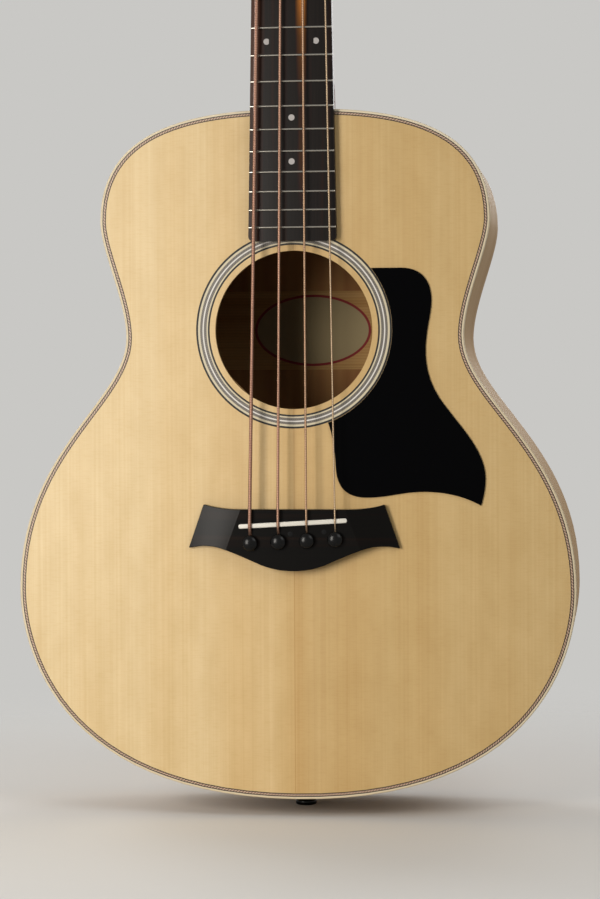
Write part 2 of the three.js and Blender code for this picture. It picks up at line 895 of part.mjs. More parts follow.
function wholeBrace(centre, angleDegrees, width, height) {
  const before = reachInside(centre, angleDegrees + 180, insideLining) - width;
  const after = reachInside(centre, angleDegrees, insideLining) - width;
  const start = new THREE.Vector2(
    centre.x - before * Math.cos(angleDegrees * degree),
    centre.y - before * Math.sin(angleDegrees * degree),
  );
  return braceAlong(start, angleDegrees, before + after, width, height);
}

// The two long braces cross in a half lap: one is notched from its top, the other from its glued face
const lapReach = brace.width;
const lapLevel = soundboardBack + brace.height / 2;
function lapNotch(angleDegrees, front, back) {
  const half = brace.width / 2 + seatGap;
  const notch = box(-lapReach, lapReach, front, back, -half, half);
  notch.rotateY(-angleDegrees * degree);
  notch.translate(crossing.x, 0, crossing.y);
  return notch;
}
const bassLegAngle = 90 - xBrace.halfAngleDegrees;
const trebleLegAngle = 90 + xBrace.halfAngleDegrees;
const braceTop = soundboardBack + brace.height + overrun;
addPiece(guitar, 'x_brace_bass', cut(
  wholeBrace(crossing, bassLegAngle, brace.width, brace.height),
  lapNotch(trebleLegAngle, lapLevel - seatGap / 2, braceTop),
), 'innerWood', 'satinWood');
addPiece(guitar, 'x_brace_treble', cut(
  wholeBrace(crossing, trebleLegAngle, brace.width, brace.height),
  lapNotch(bassLegAngle, soundboardBack - overrun, lapLevel + seatGap / 2),
), 'innerWood', 'satinWood');
addPiece(guitar, 'transverse_brace', wholeBrace(
  new THREE.Vector2(0, soundholeZ + soundhole.radius + transverseBrace.aboveHole),
  0,
  transverseBrace.width,
  transverseBrace.height,
), 'innerWood', 'satinWood');

const legAngle = trebleLegAngle + 180;
const legReach = toneBar.alongLegShare * reachInside(crossing, legAngle, insideLining);
const legSpot = new THREE.Vector2(
  crossing.x + legReach * Math.cos(legAngle * degree),
  crossing.y + legReach * Math.sin(legAngle * degree),
);
const toneStart = new THREE.Vector2(
  legSpot.x + brace.width * Math.SQRT2 * Math.cos(toneBar.angleDegrees * degree),
  legSpot.y + brace.width * Math.SQRT2 * Math.sin(toneBar.angleDegrees * degree),
);
addPiece(guitar, 'tone_bar', braceAlong(
  toneStart,
  toneBar.angleDegrees,
  reachInside(toneStart, toneBar.angleDegrees, insideLining) - brace.width,
  brace.width,
  toneBar.height,
), 'innerWood', 'satinWood');

// The bridge plate fills the space between the legs of the cross, under the bridge
function legInsideAt(z) {
  const spread = (crossing.y - z) * Math.tan(xBrace.halfAngleDegrees * degree);
  return spread - brace.width / 2 / Math.cos(xBrace.halfAngleDegrees * degree) - 2 * seatGap;
}
const plateTopZ = saddleZ + bridgePlate.aboveSaddle;
const plateBottomZ = saddleZ - pinSizes.behindSaddle - bridgePlate.belowPins;
addPiece(guitar, 'bridge_plate', cut(
  plate(shapeFrom([
    new THREE.Vector2(-legInsideAt(plateTopZ), plateTopZ),
    new THREE.Vector2(-legInsideAt(plateBottomZ), plateBottomZ),
    new THREE.Vector2(legInsideAt(plateBottomZ), plateBottomZ),
    new THREE.Vector2(legInsideAt(plateTopZ), plateTopZ),
  ]), soundboardBack, soundboardBack + bridgePlate.thickness),
  ...pinHoles,
  ...stringChannels,
), 'maple', 'satinWood');

// Pickguard: drawn about the soundhole's centre, with its inner edge round the rosette
function pickguardShape() {
  const outward = ([xShare, zShare]) => [
    pickguard.reach * xShare,
    soundholeZ + (zShare > 0 ? pickguard.rise * zShare : pickguard.drop * zShare),
  ];
  const ring = rosette.outerRadius + seatGap + pickguard.ringGap;
  const topAngle = Math.asin(pickguard.rise / ring);
  const bottomAngle = -Math.acos((pickguard.reach * pickguardEndShare) / ring);
  const shape = new THREE.Shape();
  shape.moveTo(ring * Math.cos(topAngle), soundholeZ + pickguard.rise);
  shape.lineTo(...outward(pickguardStartShares));
  pickguardCurveShares.forEach((curve) => shape.bezierCurveTo(...curve.flatMap(outward)));
  shape.quadraticCurveTo(
    ...outward(pickguardLastShares),
    ring * Math.cos(bottomAngle),
    soundholeZ + ring * Math.sin(bottomAngle),
  );
  shape.absarc(0, soundholeZ, ring, bottomAngle, topAngle, false);
  return shape;
}
addPiece(
  guitar,
  'pickguard',
  plate(pickguardShape(), frontPlane - pickguard.thickness, frontPlane, 6),
  'blackPlastic',
  'gloss',
);

// Bridge: a curved outline with thin scooped wings and a belly behind the pins
function bridgeShape() {
  const size = bridgeSizes;
  const dipRise = size.topCornerEdge - size.topEdge;
  const bellyDrop = size.bellyBottomEdge - size.wingBottomEdge;
  const spot = (x, rise) => new THREE.Vector2(x, saddleZ + rise);
  const flatTop = spot(size.flatTopHalfWidth, size.topEdge);
  const dip = bridgeDipShares.map(([out, share]) => (
    spot(size.halfWidth * out, size.topEdge + dipRise * share)
  ));
  const topCorner = spot(size.topCornerHalfWidth, size.topCornerEdge);
  const bottomCorner = spot(size.halfWidth, -size.bottomCornerEdge);
  const belly = bridgeBellyShares.map(([out, share]) => (
    spot(size.halfWidth * out, -size.wingBottomEdge - bellyDrop * share)
  ));
  const curves = [
    [flatTop, ...dip, topCorner],
    [bottomCorner, ...belly.slice(0, 3)],
    belly.slice(2, 6),
    belly.slice(5, 9),
  ];
  const treble = curves.flatMap((curve, i) => {
    const points = new THREE.CubicBezierCurve(...curve).getPoints(4);
    return i > 1 ? points.slice(1) : points;
  });
  const bass = treble.slice(0, -1).reverse().map((point) => new THREE.Vector2(-point.x, point.y));
  return shapeFrom([...treble, ...bass]);
}

// The bridge's height from side to side; the thick block is narrower towards the soundhole
function wingEnvelope() {
  const size = bridgeSizes;
  const topZ = saddleZ + size.topCornerEdge + overrun;
  const bottomZ = saddleZ - size.bellyBottomEdge - overrun;
  const blockHalfAt = (z) => {
    const share = (saddleZ + size.topEdge - z) / (size.topEdge + size.wingBottomEdge);
    return size.blockHalfWidthAtTop + (size.blockHalfWidthAtBottom - size.blockHalfWidthAtTop) * share;
  };
  const outerX = size.halfWidth + overrun;
  const half = wingOutShares.map((share, i) => {
    const height = size.wingTipHeight + (size.height - size.wingTipHeight) * wingHeightShares[i];
    return { share, height };
  });
  const profilePoints = [
    ...half.slice().reverse().map(({ share, height }) => ({ side: 1, share, height })),
    ...half.map(({ share, height }) => ({ side: -1, share, height })),
  ];
  const sectionAt = (z) => {
    const inner = blockHalfAt(z);
    const outline = profilePoints.map(({ side, share, height }) => new THREE.Vector3(
      side * (inner + (outerX - inner) * share),
      heightY(height),
      z,
    ));
    return [
      new THREE.Vector3(-outerX, heightY(-overrun), z),
      new THREE.Vector3(outerX, heightY(-overrun), z),
      ...outline,
    ];
  };
  return loftOfDrawing(sectionAt(bottomZ), sectionAt(topZ));
}

// A body between two like sections that lie in planes of equal z; the sections may be hollowed
function loftOfDrawing(first, second) {
  const drawing = first.map((point) => new THREE.Vector2(point.x, point.y));
  const cap = THREE.ShapeUtils.triangulateShape(drawing, []);
  const count = first.length;
  const faces = [];
  const isClockwise = THREE.ShapeUtils.isClockWise(drawing);
  cap.forEach(([a, b, c]) => {
    const capIsClockwise = THREE.ShapeUtils.isClockWise([drawing[a], drawing[b], drawing[c]]);
    const [p, q] = capIsClockwise === isClockwise ? [b, c] : [c, b];
    faces.push(a, q, p);
    faces.push(count + a, count + p, count + q);
  });
  for (let j = 0; j < count; j += 1) {
    const k = (j + 1) % count;
    faces.push(j, k, count + k, j, count + k, count + j);
  }
  return closedBody([...first, ...second], faces);
}

function stadium(length, width) {
  const half = length / 2 - width / 2;
  const shape = new THREE.Shape();
  shape.moveTo(-half, -width / 2);
  shape.lineTo(half, -width / 2);
  shape.absarc(half, 0, width / 2, -Math.PI / 2, Math.PI / 2, false);
  shape.lineTo(-half, width / 2);
  shape.absarc(-half, 0, width / 2, Math.PI / 2, 1.5 * Math.PI, false);
  return shape;
}

function slanted(geometry) {
  geometry.rotateY(-saddleSizes.slantDegrees * degree);
  geometry.translate(0, 0, saddleZ);
  return geometry;
}

const saddleSlot = slanted(plate(
  stadium(saddleSizes.length + 2 * seatGap, saddleSizes.thickness + 2 * seatGap),
  heightY(bridgeSizes.height + overrun),
  heightY(saddleSizes.slotFloor),
  4,
));
addPiece(guitar, 'bridge', cut(
  common(plate(bridgeShape(), heightY(bridgeSizes.height), frontPlane, 4), wingEnvelope()),
  saddleSlot,
  ...pinHoles,
  ...stringChannels,
), 'darkWood', 'satinWood');

// A crowned top: a wide arch of the fingerboard's radius, whose crest lies at the given height
function crownedUnder(crestHeight, halfWidth, zLow, zHigh, steps) {
  const outline = [];
  for (let i = 0; i <= steps; i += 1) {
    const x = halfWidth * (1 - (2 * i) / steps);
    outline.push([x, heightY(crestHeight - crownDrop(x))]);
  }
  const section = (z) => [
    new THREE.Vector3(-halfWidth, heightY(-overrun), z),
    new THREE.Vector3(halfWidth, heightY(-overrun), z),
    ...outline.map(([x, y]) => new THREE.Vector3(x, y, z)),
  ];
  return loftOfDrawing(section(zLow), section(zHigh));
}
const saddleCrest = saddleTopHeight(0);
addPiece(guitar, 'saddle', common(
  slanted(plate(
    stadium(saddleSizes.length, saddleSizes.thickness),
    heightY(saddleCrest + overrun),
    heightY(saddleSizes.slotFloor + seatGap),
    4,
  )),
  crownedUnder(
    saddleCrest,
    saddleSizes.length / 2 + overrun,
    saddleZ - saddleSizes.length / 4,
    saddleZ + saddleSizes.length / 4,
    8,
  ),
), 'bone', 'satinWood');

strings.forEach((string, index) => {
  const size = pinSizes;
  const seat = bridgeSizes.height + seatGap;
  const pin = turned([
    [0, seat - size.length],
    [size.tipRadius, seat - size.length],
    [size.topRadius, seat],
    [size.collarRadius, seat],
    [size.collarRadius, seat + size.collarHeight],
    ...pinDomeShares.map(([out, rise]) => [size.headRadius * out, seat + size.headHeight * rise]),
    [0, seat + size.headHeight],
  ], 9);
  pin.rotateX(Math.PI);
  const place = pinPlace(index);
  pin.translate(place.x, frontPlane, place.z);
  addPiece(guitar, `bridge_pin_${string.name}`, pin, 'blackPlastic', 'satinBlack');
});

// Fingerboard with its frets pressed in, crowned from side to side
function fingerboardShape() {
  const endZ = nutZ - boardLength;
  const radius = neckSizes.boardCornerRadius;
  const endHalf = boardHalfWidthAt(endZ);
  const topHalf = boardHalfWidthAt(nutZ);
  const shape = new THREE.Shape();
  shape.moveTo(-topHalf, nutZ);
  shape.lineTo(-endHalf, endZ + radius);
  shape.quadraticCurveTo(-endHalf, endZ, -endHalf + radius, endZ);
  shape.lineTo(endHalf - radius, endZ);
  shape.quadraticCurveTo(endHalf, endZ, endHalf, endZ + radius);
  shape.lineTo(topHalf, nutZ);
  return shape;
}

function fretAt(number) {
  const z = nutZ - fretDistance(number);
  const half = boardHalfWidthAt(z) - neckSizes.fretEndInset;
  const stations = 3;
  const rings = [];
  for (let i = 0; i < stations; i += 1) {
    const x = half * ((2 * i) / (stations - 1) - 1);
    const base = heightY(neckSizes.fingerboardHeight - crownDrop(x) - neckSizes.fretHeight / 2);
    const crest = heightY(neckSizes.fingerboardHeight - crownDrop(x) + neckSizes.fretHeight);
    rings.push([
      new THREE.Vector3(x, base, z - neckSizes.fretWidth / 2),
      new THREE.Vector3(x, crest, z - neckSizes.fretTopWidth / 2),
      new THREE.Vector3(x, crest, z + neckSizes.fretTopWidth / 2),
      new THREE.Vector3(x, base, z + neckSizes.fretWidth / 2),
    ]);
  }
  return loft(rings);
}

const frets = Array.from({ length: neckSizes.fretCount }, (unused, i) => fretAt(i + 1));
const boardBlank = common(
  plate(fingerboardShape(), heightY(neckSizes.fingerboardHeight), frontPlane, 4),
  crownedUnder(
    neckSizes.fingerboardHeight,
    boardHalfWidthAt(nutZ - boardLength) + overrun,
    nutZ - boardLength - overrun,
    nutZ + overrun,
    4,
  ),
);
addPiece(guitar, 'fingerboard', join(boardBlank, ...frets), 'darkWood', 'satinWood');

// Nut: crowned like the board, with a slot for each string
const nutHalf = neckSizes.widthAtNut / 2;
const nutCrest = neckSizes.fingerboardHeight + nutSizes.aboveBoard;
const nutTopZ = nutZ + nutSizes.thickness;
const nutSlots = strings.map((string, index) => {
  const x = stringSizes.spreadAtNut * spreadShare(index);
  const half = string.diameter / 2 + seatGap;
  const floor = heightY(nutFloorHeight(x) - 2 * seatGap);
  return box(x - half, x + half, heightY(nutCrest + overrun), floor, nutZ - overrun, nutTopZ + overrun);
});
addPiece(guitar, 'nut', cut(
  common(
    box(-nutHalf, nutHalf, heightY(nutCrest), frontPlane, nutZ, nutTopZ),
    crownedUnder(nutCrest, nutHalf + overrun, nutZ - overrun, nutTopZ + overrun, 8),
  ),
  ...nutSlots,
), 'bone', 'satinWood');

// Neck: a rounded shaft, a curved heel scribed to the body, and the tilted headstock in one piece
function roundBack(halfWidth, depth, points) {
  const outline = [];
  for (let i = 0; i <= points; i += 1) {
    const angle = (Math.PI * i) / points;
    outline.push([halfWidth * Math.cos(angle), depth * Math.sin(angle) ** neckShares.backRound]);
  }
  return outline;
}

const neckBodyZ = bodyTopZ - overrun;
function neckShaft() {
  const stations = [
    { z: neckBodyZ, depth: neckSizes.depthAtBody },
    { z: nutTopZ, depth: neckSizes.depthAtNut },
  ];
  return loft(stations.map(({ z, depth }) => {
    const half = boardHalfWidthAt(Math.min(z, nutZ));
    const outline = roundBack(half, depth, neckSizes.backSteps);
    return outline.map(([x, y]) => new THREE.Vector3(x, frontPlane + y, z));
  }));
}

function neckHeel() {
  const size = neckSizes;
  const rootHalf = boardHalfWidthAt(bodyTopZ);
  const start = size.depthAtBody * neckShares.heelStart;
  const rings = [];
  for (let i = 0; i <= size.heelLevels; i += 1) {
    const share = i / size.heelLevels;
    const half = rootHalf + (size.heelTipHalfWidth - rootHalf) * share ** neckShares.heelNarrowing;
    const drawnIn = (1 - share) ** neckShares.heelDrawIn;
    const reach = size.heelTipReach + (size.heelRootReach - size.heelTipReach) * drawnIn + overrun;
    const y = frontPlane + start + (size.heelDepth - start) * share;
    const outline = roundBack(half, reach, size.backSteps);
    rings.push(outline.map(([x, z]) => new THREE.Vector3(x, y, neckBodyZ + z)));
  }
  return loft(rings);
}

function headstockShape() {
  const size = headstock;
  const share = headstockShares;
  const base = neckSizes.widthAtNut / 2;
  const half = (side) => ({
    neckHandle: [side * base, size.shoulderHeight * share.neckHandle],
    shoulderHandle: [side * size.shoulderHalfWidth, size.shoulderHeight * share.shoulderHandle],
    shoulder: [side * size.shoulderHalfWidth, size.shoulderHeight],
    top: [side * size.topHalfWidth, size.topCornerHeight],
    corner: [side * size.topHalfWidth * share.cornerWidth, size.length * share.cornerHeight],
    crown: [side * size.topHalfWidth * share.crownWidth, size.length * share.crownStart],
  });
  const [bass, treble] = [half(-1), half(1)];
  const shape = new THREE.Shape();
  shape.moveTo(-base, 0);
  shape.lineTo(base, 0);
  shape.bezierCurveTo(...treble.neckHandle, ...treble.shoulderHandle, ...treble.shoulder);
  shape.lineTo(...treble.top);
  shape.quadraticCurveTo(...treble.corner, ...treble.crown);
  shape.quadraticCurveTo(0, size.length * share.crownPeak, ...bass.crown);
  shape.quadraticCurveTo(...bass.corner, ...bass.top);
  shape.lineTo(...bass.shoulder);
  shape.bezierCurveTo(...bass.shoulderHandle, ...bass.neckHandle, -base, 0);
  return shape;
}

const coreFront = headstock.plateThickness + seatGap;
const postHoles = strings.map((string) => {
  const place = postPlace(string);
  const radius = tuner.bushingRadius + seatGap;
  return barAlongY(radius, -overrun, headstock.thickness + overrun, 14, place.x, place.y);
});
const rodAxisY = frontPlane + trussRod.axisDepth;
const rodChannel = box(
  -trussRod.barWidth / 2 - seatGap,
  trussRod.barWidth / 2 + seatGap,
  frontPlane - overrun,
  frontPlane + trussRod.channelDepth,
  bodyTopZ + trussRod.fromBody - seatGap,
  nutTopZ + trussRod.nutStart,
);
const rodPocket = box(
  -trussRod.pocketWidth / 2,
  trussRod.pocketWidth / 2,
  frontPlane - 2 * overrun,
  frontPlane + trussRod.channelDepth + 2 * seatGap,
  nutTopZ + trussRod.nutStart - trussRod.pocketRoom,
  nutTopZ + trussRod.pocketLength,
);

function headstockCore() {
  const core = plate(headstockShape(), coreFront, headstock.thickness, 5);
  const root = box(
    -neckSizes.widthAtNut / 2,
    neckSizes.widthAtNut / 2,
    coreFront,
    headstock.thickness - overrun,
    -2 * overrun,
    overrun,
  );
  return tilted(cut(join(core, root), ...postHoles));
}
const faceWaste = tilted(box(
  -headstock.topHalfWidth,
  headstock.topHalfWidth,
  -4 * overrun,
  coreFront,
  -overrun,
  2 * headstock.shoulderHeight,
));
const boardWaste = box(
  -headstock.topHalfWidth,
  headstock.topHalfWidth,
  frontPlane - 4 * overrun,
  frontPlane,
  neckBodyZ,
  nutTopZ,
);
const faceAboveNut = cut(faceWaste, box(
  -headstock.topHalfWidth - overrun,
  headstock.topHalfWidth + overrun,
  frontPlane,
  frontPlane + headstock.thickness,
  nutZ - 4 * overrun,
  nutTopZ,
));
const scribeShape = shapeFrom(insetOutline(-seatGap));
const bodyForScribe = plate(scribeShape, cutterFront, frontPlane + deepestRim + overrun);
addPiece(guitar, 'neck', cut(
  join(neckShaft(), neckHeel(), headstockCore()),
  bodyForScribe,
  boardWaste,
  faceAboveNut,
  rodChannel,
  rodPocket,
), 'neckWood', 'satinWood');
addPiece(headstockGroup, 'headplate', cut(
  plate(headstockShape(), 0, headstock.plateThickness, 5),
  rodPocket.clone().applyMatrix4(headstockGroup.matrix.clone().invert()),
  ...postHoles,
), 'darkWood', 'satinWood');

// Truss rod: a bar in the neck's channel, its threaded end and the hexagon nut in the headstock's pocket
const barEndZ = nutZ - trussRod.fromBody / 2;
const rodBar = box(
  -trussRod.barWidth / 2,
  trussRod.barWidth / 2,
  rodAxisY - trussRod.barDepth / 2,
  rodAxisY + trussRod.barDepth / 2,
  bodyTopZ + trussRod.fromBody,
  barEndZ,
);
function barAlongZ(radius, zLow, zHigh, facets) {
  const geometry = new THREE.CylinderGeometry(radius, radius, zHigh - zLow, facets);
  geometry.rotateX(Math.PI / 2);
  geometry.translate(0, rodAxisY, (zLow + zHigh) / 2);
  return geometry;
}
const rodNutZ = nutTopZ + trussRod.nutStart;
const rodEndZ = rodNutZ + trussRod.endInNut;
const rodEnd = barAlongZ(trussRod.endRadius, barEndZ - overrun, rodEndZ, 12);
addPiece(guitar, 'truss_rod', join(rodBar, rodEnd), 'steel', 'metal');
addPiece(guitar, 'truss_rod_nut', cut(
  barAlongZ(trussRod.nutRadius, rodNutZ, rodNutZ + trussRod.nutLength, 6),
  barAlongZ(trussRod.endRadius + seatGap, rodNutZ - overrun, rodNutZ + trussRod.nutLength + overrun, 12),
), 'brass', 'metal');

function coverShape() {
  const size = rodCover;
  const tipStart = size.start + size.length - size.tipHalfWidth;
  const wideHandleZ = size.start + size.length * rodCoverShares.wideHandle;
  const tipHandleZ = size.start + size.length * rodCoverShares.tipHandle;
  const tipHandleX = size.tipHalfWidth * rodCoverShares.tipHandleWidth;
  const shape = new THREE.Shape();
  shape.moveTo(-size.halfWidth, size.start);
  shape.lineTo(size.halfWidth, size.start);
  shape.bezierCurveTo(size.halfWidth, wideHandleZ, tipHandleX, tipHandleZ, size.tipHalfWidth, tipStart);
  shape.absarc(0, tipStart, size.tipHalfWidth, 0, Math.PI, false);
  shape.bezierCurveTo(-tipHandleX, tipHandleZ, -size.halfWidth, wideHandleZ, -size.halfWidth, size.start);
  return shape;
}
addPiece(
  headstockGroup,
  'truss_rod_cover',
  plate(coverShape(), -rodCover.thickness - seatGap, -seatGap, 6),
  'blackPlastic',
  'gloss',
);

// Tuning machines: a worm on the key's shaft drives a wheel on the string post, 16 turns to one
const wheelPitchRadius = (tuner.teeth * tuner.pitch) / (2 * Math.PI);
const gearDistance = wheelPitchRadius + tuner.wormPitchRadius;
const threadRadius = tuner.wormPitchRadius + tuner.addendum;
const threadRootRadius = tuner.wormPitchRadius - tuner.dedendum;
const plateFront = headstock.thickness + seatGap;
const plateBack = plateFront + tuner.plateThickness;
const wormAxisY = plateBack + threadRadius + tuner.wormPlateGap;
const wheelFront = wormAxisY - tuner.wheelThickness / 2;
const wheelBack = wormAxisY + tuner.wheelThickness / 2;
const leadSlope = tuner.pitch / (2 * Math.PI * tuner.wormPitchRadius);
const threadHalf = (tuner.threadTurns * tuner.pitch) / 2;

function wheelGeometry() {
  const tipRadius = wheelPitchRadius + tuner.addendum;
  const rootRadius = wheelPitchRadius - tuner.dedendum;
  const points = [];
  for (let i = 0; i < tuner.teeth; i += 1) {
    const middle = -Math.PI / 2 + (2 * Math.PI * (i + 0.5)) / tuner.teeth;
    const tip = tuner.toothTipWidth / 2 / tipRadius;
    const root = tuner.toothRootWidth / 2 / rootRadius;
    const corners = [[rootRadius, -root], [tipRadius, -tip], [tipRadius, tip], [rootRadius, root]];
    corners.forEach(([radius, turn]) => {
      points.push(new THREE.Vector2(radius * Math.cos(middle + turn), radius * Math.sin(middle + turn)));
    });
  }
  const wheel = plate(shapeFrom(points), wheelFront, wheelBack);
  const places = wheel.attributes.position;
  for (let i = 0; i < places.count; i += 1) {
    const point = new THREE.Vector3().fromBufferAttribute(places, i);
    const twist = ((point.y - wormAxisY) * leadSlope) / wheelPitchRadius;
    point.applyAxisAngle(new THREE.Vector3(0, 1, 0), twist);
    places.setXYZ(i, point.x, point.y, point.z);
  }
  return cut(wheel, barAlongY(tuner.hubRadius + seatGap, wheelFront - overrun, wheelBack + overrun, 16));
}

// The worm's thread: a right-hand helix with one crest straight under the middle of the wheel
function wormThread() {
  const steps = Math.round(tuner.threadTurns * tuner.threadStepsPerTurn);
  const rings = [];
  const foot = threadRootRadius - 2 * seatGap;
  for (let i = 0; i <= steps; i += 1) {
    const turn = 2 * Math.PI * tuner.threadTurns * (i / steps - 0.5);
    const x = (tuner.pitch * turn) / (2 * Math.PI);
    const angle = turn + Math.PI / 2;
    const corners = [
      [-tuner.threadRootWidth / 2, foot],
      [-tuner.threadTipWidth / 2, threadRadius],
      [tuner.threadTipWidth / 2, threadRadius],
      [tuner.threadRootWidth / 2, foot],
    ];
    rings.push(corners.map(([shift, radius]) => new THREE.Vector3(
      x + shift,
      radius * Math.cos(angle),
      radius * Math.sin(angle),
    )));
  }
  return loft(rings);
}

function barAlongX(radius, xLow, xHigh, facets) {
  const geometry = new THREE.CylinderGeometry(radius, radius, xHigh - xLow, facets);
  geometry.rotateZ(Math.PI / 2);
  geometry.translate((xLow + xHigh) / 2, 0, 0);
  return geometry;
}

function headstockHalfWidthAt(height) {
  const share = (height - headstock.shoulderHeight) / (headstock.topCornerHeight - headstock.shoulderHeight);
  return headstock.shoulderHalfWidth + (headstock.topHalfWidth - headstock.shoulderHalfWidth) * share;
}

const earInner = threadHalf + tuner.threadRootWidth / 2 + seatGap;
const earOuter = earInner + tuner.earThickness;

// The key: worm, shaft and an oval button outside the headstock's edge
function keyGeometry(string) {
  const edge = headstockHalfWidthAt(tuner.rowHeights[string.row]) - tuner.rowHalfSpans[string.row];
  const buttonStart = edge + tuner.shaftPastEdge;
  const core = barAlongX(threadRootRadius, -earInner + seatGap, earInner - seatGap, tuner.threadStepsPerTurn);
  const shaft = barAlongX(tuner.shaftRadius, -earOuter - seatGap, buttonStart + overrun, 10);
  const collar = barAlongX(
    tuner.buttonCollarRadius,
    buttonStart - overrun / 2,
    buttonStart + overrun / 2,
    10,
  );
  const button = new THREE.SphereGeometry(1, 10, 6);
  const places = button.attributes.position;
  const full = (value) => Math.sign(value) * Math.abs(value) ** tuner.buttonRoundShare;
  for (let i = 0; i < places.count; i += 1) {
    places.setXYZ(
      i,
      (full(places.getX(i)) * tuner.buttonLength) / 2,
      (full(places.getY(i)) * tuner.buttonThickness) / 2,
      (full(places.getZ(i)) * tuner.buttonWidth) / 2,
    );
  }
  button.translate(buttonStart + tuner.buttonLength / 2, 0, 0);
  const smooth = join(core, shaft, collar, button);
  if (string.side < 0) {
    smooth.rotateY(Math.PI);
  }
  return join(smooth, wormThread());
}

function tunerPlateGeometry() {
  const half = tuner.plateHalfWidth;
  const low = -gearDistance - tuner.plateBelowWorm;
  const high = tuner.plateTop;
  const round = tuner.plateCorner;
  const shape = new THREE.Shape();
  shape.moveTo(-half + round, low);
  shape.lineTo(half - round, low);
  shape.quadraticCurveTo(half, low, half, low + round);
  shape.lineTo(half, high - round);
  shape.quadraticCurveTo(half, high, half - round, high);
  shape.lineTo(-half + round, high);
  shape.quadraticCurveTo(-half, high, -half, high - round);
  shape.lineTo(-half, low + round);
  shape.quadraticCurveTo(-half, low, -half + round, low);
  const ears = [-1, 1].map((side) => box(
    side > 0 ? earInner : -earOuter,
    side > 0 ? earOuter : -earInner,
    plateBack - tuner.plateThickness / 2,
    wormAxisY + tuner.earAboveShaft,
    -gearDistance - tuner.earHalfWidth,
    -gearDistance + tuner.earHalfWidth,
  ));
  const shaftHole = barAlongX(tuner.shaftRadius + seatGap, -earOuter - overrun, earOuter + overrun, 10);
  shaftHole.translate(0, wormAxisY, -gearDistance);
  return cut(
    join(plate(shape, plateFront, plateBack, 2), ...ears),
    shaftHole,
    barAlongY(tuner.postRadius + seatGap, plateFront - overrun, plateBack + overrun, 16),
  );
}

const bushingGeometry = turned([
  [tuner.postRadius + seatGap, -tuner.bushingLength],
  [tuner.bushingRadius, -tuner.bushingLength],
  [tuner.bushingRadius, seatGap],
  [tuner.flangeRadius, seatGap],
  [tuner.flangeRadius, seatGap + tuner.flangeThickness / 2],
  [tuner.flangeRadius - tuner.flangeThickness / 2, seatGap + tuner.flangeThickness],
  [tuner.postRadius + seatGap, seatGap + tuner.flangeThickness],
  [tuner.postRadius + seatGap, -tuner.bushingLength],
], 10);
bushingGeometry.rotateX(Math.PI);

// The string's turns round the post: each turn lies level, then climbs beside the next
function windingRoute(string, index) {
  const radius = windingRadius(string.diameter);
  const start = tangentAngle(string, index);
  const pitch = string.diameter + winding.turnGap;
  const level = windingLevel(string.diameter);
  const steps = Math.round(winding.turns * winding.stepsPerTurn);
  const route = [];
  for (let i = 0; i <= steps; i += 1) {
    const turns = (winding.turns * i) / steps;
    const whole = Math.floor(turns);
    const climb = Math.max(0, turns - whole - (1 - winding.climbShare)) / winding.climbShare;
    const rise = whole + climb * climb * (3 - 2 * climb);
    const angle = start - string.side * 2 * Math.PI * turns;
    route.push(new THREE.Vector3(radius * Math.cos(angle), level - pitch * rise, radius * Math.sin(angle)));
  }
  const last = route[route.length - 1];
  const before = route[route.length - 2];
  const along = last.clone().sub(before).normalize();
  const inward = new THREE.Vector3(-last.x, 0, -last.z).normalize();
  route[route.length - 1] = last.clone().addScaledVector(along, -winding.bend);
  route.push(last.clone().addScaledVector(inward, winding.bend));
  route.push(last.clone().addScaledVector(inward, radius - winding.endFromAxis));
  return route;
}

// Stretches that are nearer than a few diameters along the cord count as one
function leastGapToItself(route, diameter) {
  const lengths = [0];
  route.slice(1).forEach((point, i) => lengths.push(lengths[i] + point.distanceTo(route[i])));
  let least = Infinity;
  route.forEach((point, i) => {
    for (let j = i + 2; j < route.length; j += 1) {
      if (lengths[j - 1] - lengths[i] < winding.nearestDiameters * diameter) {
        continue;
      }
      const run = route[j].clone().sub(route[j - 1]);
      const share = THREE.MathUtils.clamp(point.clone().sub(route[j - 1]).dot(run) / run.lengthSq(), 0, 1);
      const near = route[j - 1].clone().addScaledVector(run, share);
      least = Math.min(least, near.distanceTo(point) - diameter);
    }
  });
  return least;
}

function postGeometry(string, index) {
  const waist = tuner.postWaistRadius;
  const top = tuner.postHeight;
  const flangeTop = seatGap + tuner.flangeThickness;
  const profile = [
    [0, -wheelBack - seatGap - tuner.capThickness],
    [tuner.capTopRadius, -wheelBack - seatGap - tuner.capThickness],
    [tuner.capRadius, -wheelBack - seatGap - tuner.capThickness / 2],
    [tuner.capRadius, -wheelBack - seatGap],
    [tuner.hubRadius, -wheelBack - seatGap],
    [tuner.hubRadius, -wheelFront + seatGap],
    [tuner.collarRadius, -wheelFront + seatGap],
    [tuner.collarRadius, -plateBack - seatGap],
    [tuner.postRadius, -plateBack - seatGap],
    [tuner.postRadius, flangeTop],
    [waist, flangeTop + seatGap],
    [waist, top - tuner.postTopRound],
    [tuner.postTopRadius, top],
    [0, top],
  ];
  const post = turned(profile, 10);
  post.rotateX(Math.PI);
  const route = windingRoute(string, index);
  const end = route[route.length - 1];
  const half = string.diameter / 2 + 2 * seatGap;
  const slot = box(-2 * waist, 2 * waist, -top - overrun, end.y + half, -half, half);
  slot.rotateY(-Math.atan2(end.z, end.x));
  return cut(post, slot);
}

